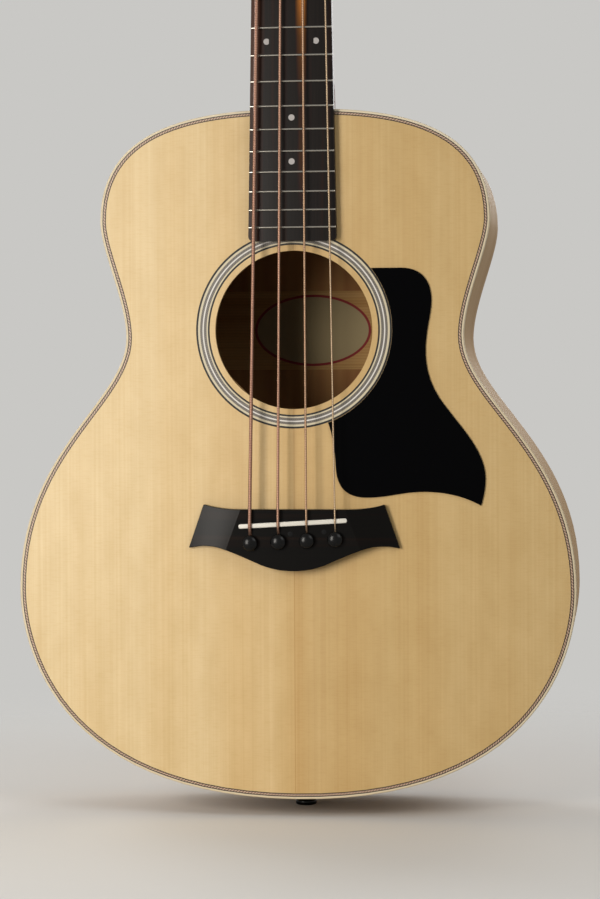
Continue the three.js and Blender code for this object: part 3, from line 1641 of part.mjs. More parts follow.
strings.forEach((string, index) => {
  const place = postPlace(string);
  const unit = new THREE.Group();
  unit.position.set(place.x, 0, place.y);
  headstockGroup.add(unit);
  addPiece(unit, `tuner_post_${string.name}`, postGeometry(string, index), 'chrome', 'metal');
  addPiece(unit, `tuner_wheel_${string.name}`, wheelGeometry(), 'brass', 'metal');
  addPiece(unit, `tuner_bushing_${string.name}`, bushingGeometry, 'chrome', 'metal');
  addPiece(unit, `tuner_plate_${string.name}`, tunerPlateGeometry(), 'chrome', 'metal');
  const key = addPiece(unit, `tuner_key_${string.name}`, keyGeometry(string), 'chrome', 'metal');
  key.position.set(0, wormAxisY, -gearDistance);
  const route = windingRoute(string, index);
  const coil = cordAlong(route, string.diameter / 2, winding.sides);
  addPiece(unit, `string_winding_${string.name}`, coil, 'bronze', 'wire');
  const gap = leastGapToItself(route, string.diameter).toFixed(2);
  console.log(`string_winding_${string.name}: least gap to itself ${gap} mm`);
});

// Strings: from the ball end under the bridge plate, over saddle and nut, to just outside the winding
strings.forEach((string, index) => {
  const route = stringRoute(string, index);
  const ball = new THREE.SphereGeometry(stringSizes.ballRadius, 8, 5);
  ball.translate(route[0].x, route[0].y, route[0].z);
  const cord = cordAlong(route, string.diameter / 2, stringSizes.cordSides);
  const place = postPlace(string);
  const clear = windingRadius(string.diameter) + string.diameter / 2 + seatGap;
  const turningSpace = tilted(barAlongY(clear, -tuner.postHeight, -seatGap, 32, place.x, place.y));
  addPiece(guitar, `string_${string.name}`, cut(join(cord, ball), turningSpace), 'bronze', 'wire');
});

// End pin: its flat face is the lowest point of the instrument
const pinFlangeTop = endPin.standout - seatGap;
const endPinGeometry = turned([
  [0, 0],
  [endPin.faceRadius, 0],
  [endPin.headRadius, endPin.headRadius - endPin.faceRadius],
  [endPin.headRadius, endPin.headThickness],
  [endPin.neckRadius, endPin.headThickness + endPin.headRadius - endPin.neckRadius],
  [endPin.flangeRadius, pinFlangeTop - endPin.flangeThickness],
  [endPin.flangeRadius, pinFlangeTop],
  [endPin.shankRadius, pinFlangeTop],
  [endPin.shankRadius, endPin.standout + endPin.shankLength],
  [0, endPin.standout + endPin.shankLength],
], 12);
endPinGeometry.rotateX(Math.PI / 2);
addPiece(guitar, 'end_pin', endPinGeometry, 'blackPlastic', 'satinBlack');

export default guitar;
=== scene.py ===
import bpy
import bmesh
from math import acos, atan2, cos, pi, radians, sin, sqrt, tan
from mathutils import Euler, Matrix, Vector
from mathutils.geometry import interpolate_bezier, intersect_line_line_2d


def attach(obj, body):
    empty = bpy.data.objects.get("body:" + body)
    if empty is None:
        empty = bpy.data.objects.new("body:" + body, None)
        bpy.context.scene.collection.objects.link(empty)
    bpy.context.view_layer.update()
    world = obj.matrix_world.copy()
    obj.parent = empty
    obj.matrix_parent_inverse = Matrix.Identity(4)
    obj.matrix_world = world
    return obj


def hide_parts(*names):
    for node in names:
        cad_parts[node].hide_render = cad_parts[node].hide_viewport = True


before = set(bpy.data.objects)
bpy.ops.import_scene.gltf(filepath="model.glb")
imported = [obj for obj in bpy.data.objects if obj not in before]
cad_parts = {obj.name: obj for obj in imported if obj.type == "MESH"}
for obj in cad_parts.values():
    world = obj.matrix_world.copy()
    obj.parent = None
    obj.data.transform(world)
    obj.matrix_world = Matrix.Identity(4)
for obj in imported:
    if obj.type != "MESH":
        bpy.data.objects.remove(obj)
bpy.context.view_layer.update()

# A short-scale acoustic bass guitar, upright: x to the treble side, y to the back, z up to the headstock.
# Shapes are drawn in millimetres, and finishPiece brings them to metres.
millimetre = 0.001

photoCamera = {
    "place": (0.21028, -1.66885, 0.27544),
    "turnDegrees": (88.72433, 0.23140, 7.28835),
    "lens": 100.63,  # a 36 mm long side
}
camera = bpy.data.objects.new("photoCamera", bpy.data.cameras.new("photoCamera"))
camera.data.lens = photoCamera["lens"]
camera.data.sensor_width = 36
camera.data.clip_end = 50
camera.location = photoCamera["place"]
camera.rotation_euler = Euler([radians(turn) for turn in photoCamera["turnDegrees"]])
bpy.context.scene.collection.objects.link(camera)
bpy.context.scene.camera = camera
bpy.context.scene.view_settings.view_transform = "Standard"


# Materials

def linearColour(hexColour):
    channels = [int(hexColour[i:i + 2], 16) / 255 for i in (1, 3, 5)]
    return [c / 12.92 if c <= 0.04045 else ((c + 0.055) / 1.055) ** 2.4 for c in channels] + [1.0]


def startMaterial(name, colour, roughness, **sockets):
    material = bpy.data.materials.new(name)
    material.use_nodes = True
    tree = material.node_tree
    shader = tree.nodes["Principled BSDF"]
    shader.inputs["Base Color"].default_value = linearColour(colour)
    shader.inputs["Roughness"].default_value = roughness
    for socket, value in sockets.items():
        shader.inputs[socket.replace("_", " ")].default_value = value
    return material, tree, shader


def addNode(tree, kind, inputs, **settings):
    node = tree.nodes.new(kind)
    for name, value in settings.items():
        setattr(node, name, value)
    for name, value in inputs.items():
        if isinstance(value, bpy.types.NodeSocket):
            tree.links.new(value, node.inputs[name])
        else:
            node.inputs[name].default_value = value
    return node


def rampBetween(tree, amount, stops, interpolation="LINEAR"):
    ramp = addNode(tree, "ShaderNodeValToRGB", {"Fac": amount})
    elements = ramp.color_ramp.elements
    ramp.color_ramp.interpolation = interpolation
    while len(elements) < len(stops):
        elements.new(1.0)
    for element, (position, colour) in zip(elements, stops):
        element.position = position
        element.color = linearColour(colour)
    return ramp.outputs["Color"]


# Growth lines of a wood: a wave across the grain, which slow noise bends, over patches of tone.
# Sizes are in millimetres. "across" names the axis that the lines follow one another along.
def grainedWood(wood):
    material, tree, shader = startMaterial(wood["name"], wood["light"], wood["roughness"], IOR=1.5)
    source = addNode(tree, "ShaderNodeTexCoord", {}).outputs["UV" if wood.get("onUv") else "Object"]
    if wood.get("bookMatched"):  # two halves opened like a book, mirrored at the centre line
        apart = addNode(tree, "ShaderNodeSeparateXYZ", {0: source})
        mirrored = addNode(tree, "ShaderNodeMath", {0: apart.outputs["X"]}, operation="ABSOLUTE")
        side = addNode(tree, "ShaderNodeMath", {0: apart.outputs["X"]}, operation="SIGN")
        shift = addNode(tree, "ShaderNodeMath", {0: side.outputs[0], 1: 0.004}, operation="MULTIPLY")
        source = addNode(tree, "ShaderNodeCombineXYZ", {
            "X": mirrored.outputs[0], "Y": shift.outputs[0], "Z": apart.outputs["Z"],
        }).outputs[0]
    perUnit = 1 / (wood["lineSpacing"] * millimetre)
    stretched = [perUnit * (1 if axis == wood["across"] else wood["along"]) for axis in "XYZ"]
    place = addNode(tree, "ShaderNodeMapping", {"Vector": source, "Scale": stretched}).outputs[0]
    lines = addNode(tree, "ShaderNodeTexWave", {
        "Vector": place, "Scale": 0.314, "Distortion": wood["wander"], "Detail": 2.0,
        "Detail Scale": wood["wanderScale"], "Detail Roughness": 0.6,
    }, wave_type="BANDS", bands_direction=wood["across"], wave_profile="SIN")
    fibres = addNode(tree, "ShaderNodeTexNoise", {"Vector": place, "Scale": 2.3, "Detail": 3.0})
    patches = addNode(tree, "ShaderNodeTexNoise", {"Vector": place, "Scale": wood["patchScale"], "Detail": 2.0})
    mixed = addNode(tree, "ShaderNodeMix", {
        "Factor": wood["fibreShare"], "A": lines.outputs["Fac"], "B": fibres.outputs["Fac"],
    }, data_type="FLOAT")
    grain = rampBetween(tree, mixed.outputs[0], [(0.2, wood["light"]), (0.8, wood["dark"])])
    tone = rampBetween(tree, patches.outputs["Fac"], [(0.3, wood["toneLight"]), (0.7, wood["toneDark"])])
    coloured = addNode(tree, "ShaderNodeMix", {"Factor": 1.0, "A": grain, "B": tone},
                       data_type="RGBA", blend_type="MULTIPLY").outputs["Result"]
    if wood.get("figure"):  # soft bands across the grain, where the fibres rise and fall
        figure = wood["figure"]
        bandScale = [1 / (figure["spacing"] * millimetre) * (1 if axis == figure["across"] else 0.12)
                     for axis in "XYZ"]
        bandPlace = addNode(tree, "ShaderNodeMapping", {"Vector": source, "Scale": bandScale}).outputs[0]
        bands = addNode(tree, "ShaderNodeTexNoise", {"Vector": bandPlace, "Scale": 1.0, "Detail": 1.5})
        bandTone = rampBetween(tree, bands.outputs["Fac"], [(0.38, figure["light"]), (0.62, figure["dark"])])
        coloured = addNode(tree, "ShaderNodeMix", {"Factor": 1.0, "A": coloured, "B": bandTone},
                           data_type="RGBA", blend_type="MULTIPLY").outputs["Result"]
    tree.links.new(coloured, shader.inputs["Base Color"])
    bump = addNode(tree, "ShaderNodeBump", {
        "Height": mixed.outputs[0], "Strength": wood["bump"], "Distance": 0.0001,
    })
    tree.links.new(bump.outputs[0], shader.inputs["Normal"])
    for socket, value in wood.get("sockets", {}).items():
        shader.inputs[socket].default_value = value
    return material


# Sitka spruce under satin lacquer: a pale cream ground with faint close growth lines, short silky dashes across
# them, broad soft bands, and two halves opened like a book whose tones are painted light: the bass half is painted
# lighter and whiter towards its edge, where the light and its sheen fall, and a step at the seam paints the halves
# taking the light a little differently
spruceSizes = {
    "colour": "#DFC799", "lineSpacing": 1.5, "lineRun": 260, "silkLength": 7.0, "silkHeight": 0.8, "bandWidth": 24,
    "mottleWidth": 15,
    "halfWidth": 182, "seamHalf": 0.25,
    # painted light: lighter and whiter towards the bass edge, where the light falls, and stepped at the seam
    "halves": [(-182, "#FFFFFF"), (-62, "#FFFFFF"), (-38, "#FAF6EF"), (-13, "#F6F0E4"), (-11, "#EFE6D4"),
               (-0.5, "#ECE1CB"), (0.5, "#E5D6B9"), (14, "#E7DCC6"), (60, "#E8E0CD"), (182, "#E8E0CE")],
}


def sitkaSpruce():
    sizes = spruceSizes
    material, tree, shader = startMaterial("satinSitkaSpruce", sizes["colour"], 0.45, IOR=1.5)
    place = addNode(tree, "ShaderNodeTexCoord", {}).outputs["Object"]
    apart = addNode(tree, "ShaderNodeSeparateXYZ", {0: place})
    mirrored = addNode(tree, "ShaderNodeMath", {0: apart.outputs["X"]}, operation="ABSOLUTE").outputs[0]
    opened = addNode(tree, "ShaderNodeCombineXYZ", {"X": mirrored, "Z": apart.outputs["Z"]}).outputs[0]

    def streaks(width, height, detail, from_=opened):
        scale = (1 / (width * millimetre), 1.0, 1 / (height * millimetre))
        stretched = addNode(tree, "ShaderNodeMapping", {"Vector": from_, "Scale": scale}).outputs[0]
        return addNode(tree, "ShaderNodeTexNoise", {"Vector": stretched, "Scale": 1.0, "Detail": detail}).outputs["Fac"]

    def multiplied(first, second):
        return addNode(tree, "ShaderNodeMix", {"Factor": 1.0, "A": first, "B": second},
                       data_type="RGBA", blend_type="MULTIPLY").outputs["Result"]

    lines = streaks(sizes["lineSpacing"], sizes["lineRun"], 2.0)
    silk = streaks(sizes["silkLength"], sizes["silkHeight"], 1.0, place)
    bands = streaks(sizes["bandWidth"], sizes["lineRun"] * 2, 0.0)
    mottle = streaks(sizes["mottleWidth"], sizes["mottleWidth"] * 2.2, 2.0, place)
    across = addNode(tree, "ShaderNodeMapRange", {
        "Value": apart.outputs["X"], "From Min": -sizes["halfWidth"] * millimetre,
        "From Max": sizes["halfWidth"] * millimetre,
    }).outputs[0]
    # painted light across the top: the bass half lighter and whiter towards its edge, the halves stepped at the seam
    halves = rampBetween(tree, across, [((x + sizes["halfWidth"]) / (2 * sizes["halfWidth"]), tone)
                                        for x, tone in sizes["halves"]])
    seam = rampBetween(tree, addNode(tree, "ShaderNodeMath", {0: mirrored, 1: 1000.0}, operation="MULTIPLY").outputs[0],
                       [(sizes["seamHalf"] * 0.4, "#E3D2B4"), (sizes["seamHalf"], "#FFFFFF")])
    coloured = multiplied(rampBetween(tree, lines, [(0.3, sizes["colour"]), (0.75, "#D8BD8C")]), halves)
    coloured = multiplied(coloured, rampBetween(tree, silk, [(0.34, "#FCFAF6"), (0.5, "#FFFFFF")]))
    coloured = multiplied(coloured, rampBetween(tree, bands, [(0.3, "#FFFFFF"), (0.7, "#F9F4EA")]))
    coloured = multiplied(coloured, rampBetween(tree, mottle, [(0.3, "#FFFFFF"), (0.7, "#F6F3EC")]))
    coloured = multiplied(coloured, seam)
    tree.links.new(coloured, shader.inputs["Base Color"])
    bump = addNode(tree, "ShaderNodeBump", {"Height": lines, "Strength": 0.04, "Distance": 0.0001})
    tree.links.new(bump.outputs[0], shader.inputs["Normal"])
    return material


spruce = sitkaSpruce()
# Layered maple, bent and lacquered satin: pale greyish tan with long soft fibres
sideMaple = grainedWood({
    "name": "satinLayeredMaple", "light": "#CAAA7C", "dark": "#B19167", "toneLight": "#FFFFFF", "toneDark": "#EADCC6",
    "across": "Y", "lineSpacing": 4.5, "along": 0.02, "wander": 6.0, "wanderScale": 0.3, "fibreShare": 0.88,
    "patchScale": 0.3, "roughness": 0.5, "bump": 0.05, "onUv": True, "sockets": {"Specular IOR Level": 0.03},
})
# A pale maple strip, close-grained, bent round the edge
edgeMaple = grainedWood({
    "name": "satinPaleMapleStrip", "light": "#E2D6BD", "dark": "#D4C5A6", "toneLight": "#FFFFFF", "toneDark": "#EFE6D6",
    "across": "Y", "lineSpacing": 1.2, "along": 0.02, "wander": 2.0, "wanderScale": 0.5, "fibreShare": 0.6,
    "patchScale": 0.2, "roughness": 0.5, "bump": 0.04, "onUv": True, "sockets": {"Specular IOR Level": 0.1},
})
backMaple = grainedWood({
    "name": "satinLayeredMapleBack", "light": "#D2B58F", "dark": "#BC9B73", "toneLight": "#FFFFFF",
    "toneDark": "#ECE0CE", "across": "X", "lineSpacing": 8.0, "along": 0.025, "wander": 5.0, "wanderScale": 0.4,
    "fibreShare": 0.55, "patchScale": 0.2, "roughness": 0.42, "bump": 0.05, "bookMatched": True,
    "figure": {"spacing": 9.0, "across": "Z", "light": "#FFFFFF", "dark": "#F3EADD"},
})
# Unfinished spruce and cedar inside the body: dull and a little darker
innerWood = grainedWood({
    "name": "bareInnerSpruce", "light": "#C79D66", "dark": "#A87C48", "toneLight": "#FFFFFF", "toneDark": "#E2D2BE",
    "across": "X", "lineSpacing": 2.2, "along": 0.03, "wander": 2.0, "wanderScale": 0.4, "fibreShare": 0.5,
    "patchScale": 0.2, "roughness": 0.75, "bump": 0.1,
})
# The bare inner ply of the back and sides: brown, dull and even
innerPly = grainedWood({
    "name": "bareBrownPly", "light": "#A27644", "dark": "#946839", "toneLight": "#FFFFFF", "toneDark": "#D8C4AC",
    "across": "X", "lineSpacing": 9.0, "along": 0.02, "wander": 2.5, "wanderScale": 0.4, "fibreShare": 0.7,
    "patchScale": 0.35, "roughness": 0.8, "bump": 0.1,
})
# Painted light: a paler, yellower band across the back's inside behind the label, where the light through the soundhole
# falls; grained like bare spruce
paintedLightBand = grainedWood({
    "name": "paintedLightBandOnPly", "light": "#B48D55", "dark": "#A37C47", "toneLight": "#FFFFFF", "toneDark": "#E6D8C4",
    "across": "Z", "lineSpacing": 2.0, "along": 0.02, "wander": 2.0, "wanderScale": 0.4, "fibreShare": 0.6,
    "patchScale": 0.3, "roughness": 0.8, "bump": 0.08,
})
# Mahogany under satin lacquer: reddish brown with short dark pores
neckWood = grainedWood({
    "name": "satinMahogany", "light": "#94603C", "dark": "#7C4C2F", "toneLight": "#FFFFFF", "toneDark": "#DCC8B8",
    "across": "X", "lineSpacing": 1.5, "along": 0.03, "wander": 6.0, "wanderScale": 0.35, "fibreShare": 0.85,
    "patchScale": 0.12, "roughness": 0.38, "bump": 0.05,
})

# Ebony, oiled: near black, fine darker pores along the grain, and brown streaks of heartwood where it was cut
# near the sapwood. "places" are tones across the grain and "fades" how strong they are along it, in millimetres.
def streakedEbony(ebony):
    material, tree, shader = startMaterial(ebony["name"], ebony["light"], ebony["roughness"], IOR=1.5)
    shader.inputs["Specular IOR Level"].default_value = ebony["specular"]
    place = addNode(tree, "ShaderNodeTexCoord", {}).outputs["Object"]
    apart = addNode(tree, "ShaderNodeSeparateXYZ", {0: place})

    def grain(width, run, detail):
        scale = [1 / ((width if axis == ebony["across"] else run) * millimetre) for axis in "XYZ"]
        stretched = addNode(tree, "ShaderNodeMapping", {"Vector": place, "Scale": scale}).outputs[0]
        return addNode(tree, "ShaderNodeTexNoise", {"Vector": stretched, "Scale": 1.0, "Detail": detail}).outputs["Fac"]

    def tonesAlong(axis, stops):
        low, high = stops[0][0], stops[-1][0]
        share = addNode(tree, "ShaderNodeMapRange", {
            "Value": apart.outputs[axis], "From Min": low * millimetre, "From Max": high * millimetre,
        }).outputs[0]
        return rampBetween(tree, share, [((at - low) / (high - low), tone) for at, tone in stops])

    def mixed(first, second, blend):
        return addNode(tree, "ShaderNodeMix", {"Factor": 1.0, "A": first, "B": second},
                       data_type="RGBA", blend_type=blend).outputs["Result"]

    pores = grain(1.1, 60, 3.0)
    coloured = rampBetween(tree, pores, [(0.3, ebony["light"]), (0.7, ebony["dark"])])
    clouds = rampBetween(tree, grain(ebony["streakWidth"], 240, 1.5), [(0.5, "#000000"), (0.75, ebony["streak"])])
    coloured = mixed(coloured, clouds, "LIGHTEN")
    for places, fades in ebony["streaks"]:
        streak = mixed(tonesAlong(ebony["across"], places), tonesAlong(ebony["along"], fades), "MULTIPLY")
        worn = mixed(streak, rampBetween(tree, grain(2.2, 150, 2.0), [(0.3, "#8C8C8C"), (0.65, "#FFFFFF")]), "MULTIPLY")
        coloured = mixed(coloured, worn, "LIGHTEN")
    tree.links.new(coloured, shader.inputs["Base Color"])
    bump = addNode(tree, "ShaderNodeBump", {"Height": pores, "Strength": 0.06, "Distance": 0.0001})
    tree.links.new(bump.outputs[0], shader.inputs["Normal"])
    return material


boardEbony = streakedEbony({
    "name": "oiledStreakedEbony", "light": "#191310", "dark": "#0F0B09", "streak": "#2A1A11", "streakWidth": 6.0,
    "across": "X", "along": "Z", "roughness": 0.34, "specular": 0.16,
    "streaks": [
        ([(-27, "#4A3023"), (-22, "#4A2B1D"), (-18.5, "#2C1A12"), (-16, "#000000"), (30, "#000000")],
         [(300, "#8F8F8F"), (440, "#C0C0C0"), (500, "#FFFFFF"), (800, "#FFFFFF")]),
        ([(-30, "#000000"), (2.5, "#000000"), (5.5, "#B8722F"), (7.5, "#C47C3A"), (10.5, "#000000"), (30, "#000000")],
         [(380, "#000000"), (430, "#565656"), (465, "#424242"), (505, "#959595"), (530, "#FFFFFF"), (620, "#C0C0C0"),
          (700, "#000000")]),
    ],
})
bridgeEbony = streakedEbony({
    "name": "oiledDarkEbony", "light": "#0A0806", "dark": "#060504", "streak": "#160E09", "streakWidth": 5.0,
    "across": "Z", "along": "X", "roughness": 0.28, "specular": 0.09,
    "streaks": [
        ([(140, "#000000"), (148.5, "#000000"), (152.5, "#5A3718"), (155.5, "#3A2210"), (159, "#000000")],
         [(-60, "#000000"), (-44, "#5A5A5A"), (-30, "#FFFFFF"), (-21, "#C0C0C0"), (-8, "#000000"), (60, "#000000")]),
    ],
})


# Polished or moulded surfaces: one colour, with a faint unevenness that breaks up the reflections
def smoothFinish(finish):
    material, tree, shader = startMaterial(finish["name"], finish["colour"], finish["roughness"], **finish["sockets"])
    place = addNode(tree, "ShaderNodeTexCoord", {}).outputs["Object"]
    scale = 1 / (finish["grit"] * millimetre)
    grit = addNode(tree, "ShaderNodeTexNoise", {"Vector": place, "Scale": scale, "Detail": 3.0})
    spread = finish["roughnessSpread"]
    varied = addNode(tree, "ShaderNodeMapRange", {
        "Value": grit.outputs["Fac"], "To Min": finish["roughness"] - spread, "To Max": finish["roughness"] + spread,
    })
    tree.links.new(varied.outputs[0], shader.inputs["Roughness"])
    bump = addNode(tree, "ShaderNodeBump", {
        "Height": grit.outputs["Fac"], "Strength": finish["bump"], "Distance": 0.00005,
    })
    tree.links.new(bump.outputs[0], shader.inputs["Normal"])
    return material


# Polished black sheet plastic: deep black, a clear soft-edged reflection
pickguardPlastic = smoothFinish({
    "name": "polishedBlackSheet", "colour": "#030304", "roughness": 0.2, "roughnessSpread": 0.03, "grit": 6.0,
    "bump": 0.02, "sockets": {"Specular_IOR_Level": 0.03},
})
# Moulded ABS, satin: the bridge pins, the bridge's plugs, the end pin and the rod cover's screws
mouldedBlack = smoothFinish({
    "name": "mouldedBlackPlastic", "colour": "#050505", "roughness": 0.24, "roughnessSpread": 0.05, "grit": 0.8,
    "bump": 0.05, "sockets": {"Specular_IOR_Level": 0.2},
})
# Lacquered ebony-dyed veneer on the headstock's face
headplateLacquer = smoothFinish({
    "name": "lacqueredBlackVeneer", "colour": "#0D0B0A", "roughness": 0.25, "roughnessSpread": 0.04, "grit": 3.0,
    "bump": 0.03, "sockets": {"IOR": 1.5},
})
# Moulded imitation ivory: warm white and slightly translucent at the edges
whiteNut = smoothFinish({
    "name": "polishedWhiteNut", "colour": "#DAD6CB", "roughness": 0.3, "roughnessSpread": 0.05, "grit": 1.0,
    "bump": 0.03, "sockets": {"IOR": 1.52},
})
chromePlate = smoothFinish({
    "name": "polishedChromePlate", "colour": "#C9CBCE", "roughness": 0.14, "roughnessSpread": 0.05, "grit": 2.5,
    "bump": 0.02, "sockets": {"Metallic": 1.0},
})
gearBrass = smoothFinish({
    "name": "machinedBrass", "colour": "#B5914F", "roughness": 0.3, "roughnessSpread": 0.08, "grit": 0.5,
    "bump": 0.08, "sockets": {"Metallic": 1.0},
})
rodSteel = smoothFinish({
    "name": "plainSteel", "colour": "#8D8F92", "roughness": 0.4, "roughnessSpread": 0.08, "grit": 0.5,
    "bump": 0.08, "sockets": {"Metallic": 1.0},
})
fretSilver = smoothFinish({
    "name": "polishedNickelSilver", "colour": "#A5A097", "roughness": 0.22, "roughnessSpread": 0.05, "grit": 0.6,
    "bump": 0.03, "sockets": {"Metallic": 1.0},
})
pearlDot = smoothFinish({
    "name": "polishedPearlDot", "colour": "#AFAAA7", "roughness": 0.2, "roughnessSpread": 0.05, "grit": 0.7,
    "bump": 0.02, "sockets": {"IOR": 1.53},
})


# Phosphor bronze wound on a steel core; the real wrap is about 0.4 mm wide, drawn three times as coarse to show; the
# grooves between the wraps are painted darker, as painted shade
def woundBronze(name, light, dark):
    material, tree, shader = startMaterial(name, light, 0.4, Metallic=1.0)
    along = addNode(tree, "ShaderNodeTexCoord", {}).outputs["UV"]
    wrapWidth = 1.1
    place = addNode(tree, "ShaderNodeMapping", {"Vector": along, "Scale": (1 / (wrapWidth * millimetre), 1, 1)})
    wraps = addNode(tree, "ShaderNodeTexWave", {"Vector": place.outputs[0], "Scale": 0.314},
                    wave_type="BANDS", bands_direction="X", wave_profile="SIN")
    # painted shade: darker in the grooves between the wraps
    shade = rampBetween(tree, wraps.outputs["Fac"], [(0.0, dark), (0.6, light)])
    tree.links.new(shade, shader.inputs["Base Color"])
    bump = addNode(tree, "ShaderNodeBump", {
        "Height": wraps.outputs["Fac"], "Strength": 0.5, "Distance": 0.0002,
    })
    tree.links.new(bump.outputs[0], shader.inputs["Normal"])
    return material


stringBronzes = {  # the thicker strings look redder than the thin ones
    "e": woundBronze("woundBronzeDeep", "#9F7B69", "#78584A"), "a": woundBronze("woundBronzeRed", "#A98571", "#82604F"),
    "d": woundBronze("woundBronzeTan", "#AD8E74", "#866A53"), "g": woundBronze("woundBronzePale", "#B59E83", "#8F7960"),
}


# Dyed veneer inlay: slanted strokes of two tones; the real strokes are finer
def slantedInlay(name, light, dark, strokeWidth):
    material, tree, shader = startMaterial(name, light, 0.4)
    along = addNode(tree, "ShaderNodeTexCoord", {}).outputs["UV"]
    place = addNode(tree, "ShaderNodeMapping", {
        "Vector": along, "Scale": (1 / (strokeWidth * millimetre), 1 / (strokeWidth * millimetre), 1),
        "Rotation": (0, 0, radians(48)),
    })
    strokes = addNode(tree, "ShaderNodeTexWave", {"Vector": place.outputs[0], "Scale": 0.314},
                      wave_type="BANDS", bands_direction="X", wave_profile="SIN")
    shade = rampBetween(tree, strokes.outputs["Fac"], [(0.3, dark), (0.6, light)])
    tree.links.new(shade, shader.inputs["Base Color"])
    return material


greyInlay = slantedInlay("slantedGreyInlay", "#777067", "#48423B", 0.9)
brownInlay = slantedInlay("slantedBrownInlay", "#C0A68C", "#73564A", 1.3)
blackLine = smoothFinish({
    "name": "dyedBlackVeneer", "colour": "#0B0704", "roughness": 0.5, "roughnessSpread": 0.04, "grit": 1.0,
    "bump": 0.02, "sockets": {"IOR": 1.4},
})
brownLine = smoothFinish({
    "name": "dyedBrownVeneer", "colour": "#1C110D", "roughness": 0.5, "roughnessSpread": 0.04, "grit": 1.0,
    "bump": 0.02, "sockets": {"IOR": 1.4},
})
whiteLine = smoothFinish({
    "name": "whiteFibreLine", "colour": "#D9D4CD", "roughness": 0.42, "roughnessSpread": 0.04, "grit": 1.0,
    "bump": 0.02, "sockets": {"IOR": 1.5},
})
creamLine = smoothFinish({
    "name": "creamMapleLine", "colour": "#C9BDA0", "roughness": 0.42, "roughnessSpread": 0.04, "grit": 1.0,
    "bump": 0.02, "sockets": {"IOR": 1.5},
})
labelPaper = smoothFinish({
    "name": "agedLabelPaper", "colour": "#92825F", "roughness": 0.8, "roughnessSpread": 0.05, "grit": 0.5,
    "bump": 0.1, "sockets": {"IOR": 1.45},
})
labelBorder = smoothFinish({
    "name": "printedRedBorder", "colour": "#7A1A18", "roughness": 0.75, "roughnessSpread": 0.05, "grit": 0.5,
    "bump": 0.1, "sockets": {"IOR": 1.45},
})
print("materials are ready")


# Sizes that the pieces share

body = {
    "tailZ": 12.0, "length": 447.3, "frontY": -56.35, "depthAtTail": 112.7, "depthAtNeck": 104.0,
    "lowerBoutHalf": 181.9, "lowerBoutHeight": 135.9, "waistHalf": 110.15, "waistHeight": 300.3,
    "upperBoutHalf": 127.0, "upperBoutHeight": 375.9, "topThickness": 2.8, "backThickness": 2.8,
    "sideThickness": 2.4, "edgeStrip": 1.65, "backArch": 7.0, "edgeRound": 1.2, "pointsPerCurve": 28,
    "handles": {"tail": 0.85, "lowerBelow": 0.313, "lowerAbove": 0.557, "waistBelow": 0.253,
                "waistAbove": 0.32, "upperBelow": 0.25, "upperAbove": 0.95, "top": 0.4},
}
bodyTopZ = body["tailZ"] + body["length"]
frontY = body["frontY"]
soundhole = {"radius": 51.2, "z": bodyTopZ - 142.7, "facets": 144}
scaleLength = 596.9


def fretDistance(number):
    return scaleLength * (1 - 2 ** (-number / 12))


nutZ = bodyTopZ + 1.1 + fretDistance(14)
saddleZ = nutZ - scaleLength - 2.85
board = {
    "widthAtNut": 42.9, "widening": 0.034, "height": 6.2, "crownRadius": 381.0, "length": fretDistance(20) + 8.8,
    "cornerRadius": 3.0, "fretWidth": 1.5, "fretHeight": 1.05, "fretInset": 0.0,
}


def boardHalfAt(z):
    return (board["widthAtNut"] + board["widening"] * (nutZ - z)) / 2


def crownDrop(x):
    return board["crownRadius"] - sqrt(board["crownRadius"] ** 2 - x ** 2)


def rimDepthAt(z):
    share = (z - body["tailZ"]) / body["length"]
    return body["depthAtTail"] + (body["depthAtNeck"] - body["depthAtTail"]) * share


# Mesh helpers

def finishPiece(mesh, name, materials, rides="guitar", replaced=(), sharpAbove=35, evenFlats=False):
    bmesh.ops.recalc_face_normals(mesh, faces=mesh.faces)
    bmesh.ops.scale(mesh, vec=(millimetre,) * 3, verts=mesh.verts)
    data = bpy.data.meshes.new(name)
    mesh.to_mesh(data)
    mesh.free()
    for material in materials:
        data.materials.append(material)
    data.shade_smooth()
    data.set_sharp_from_angle(angle=radians(sharpAbove))
    piece = bpy.data.objects.new(name, data)
    bpy.context.scene.collection.objects.link(piece)
    if evenFlats:  # flats keep a flat shine up to their rounded edges
        piece.modifiers.new("evenFlats", "WEIGHTED_NORMAL").keep_sharp = True
    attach(piece, rides)
    if replaced:
        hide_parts(*replaced)
    return piece


# Cuts a mesh out of a finished piece, in millimetres too
def carve(piece, cutter, sharpAbove=35, evenFlats=False):
    bmesh.ops.recalc_face_normals(cutter, faces=cutter.faces)
    bmesh.ops.scale(cutter, vec=(millimetre,) * 3, verts=cutter.verts)
    data = bpy.data.meshes.new("cutter")
    cutter.to_mesh(data)
    cutter.free()
    tool = bpy.data.objects.new("cutter", data)
    bpy.context.scene.collection.objects.link(tool)
    cut = piece.modifiers.new("cut", "BOOLEAN")
    cut.operation, cut.solver, cut.object = "DIFFERENCE", "EXACT", tool
    carved = bpy.data.meshes.new_from_object(piece.evaluated_get(bpy.context.evaluated_depsgraph_get()))
    piece.modifiers.clear()
    piece.data = carved
    carved.shade_smooth()
    carved.set_sharp_from_angle(angle=radians(sharpAbove))
    bpy.data.objects.remove(tool)
    if evenFlats:
        piece.modifiers.new("evenFlats", "WEIGHTED_NORMAL").keep_sharp = True
    return piece


def addBlock(mesh, low, high, matrix=None):
    corners = bmesh.ops.create_cube(mesh, size=1)["verts"]
    bmesh.ops.scale(mesh, vec=[b - a for a, b in zip(low, high)], verts=corners)
    bmesh.ops.translate(mesh, vec=[(a + b) / 2 for a, b in zip(low, high)], verts=corners)
    if matrix is not None:
        bmesh.ops.transform(mesh, matrix=matrix, verts=corners)
    return corners


def drawLoop(mesh, points):
    corners = [mesh.verts.new(point) for point in points]
    return [mesh.edges.new((corners[i - 1], corners[i])) for i in range(len(corners))]


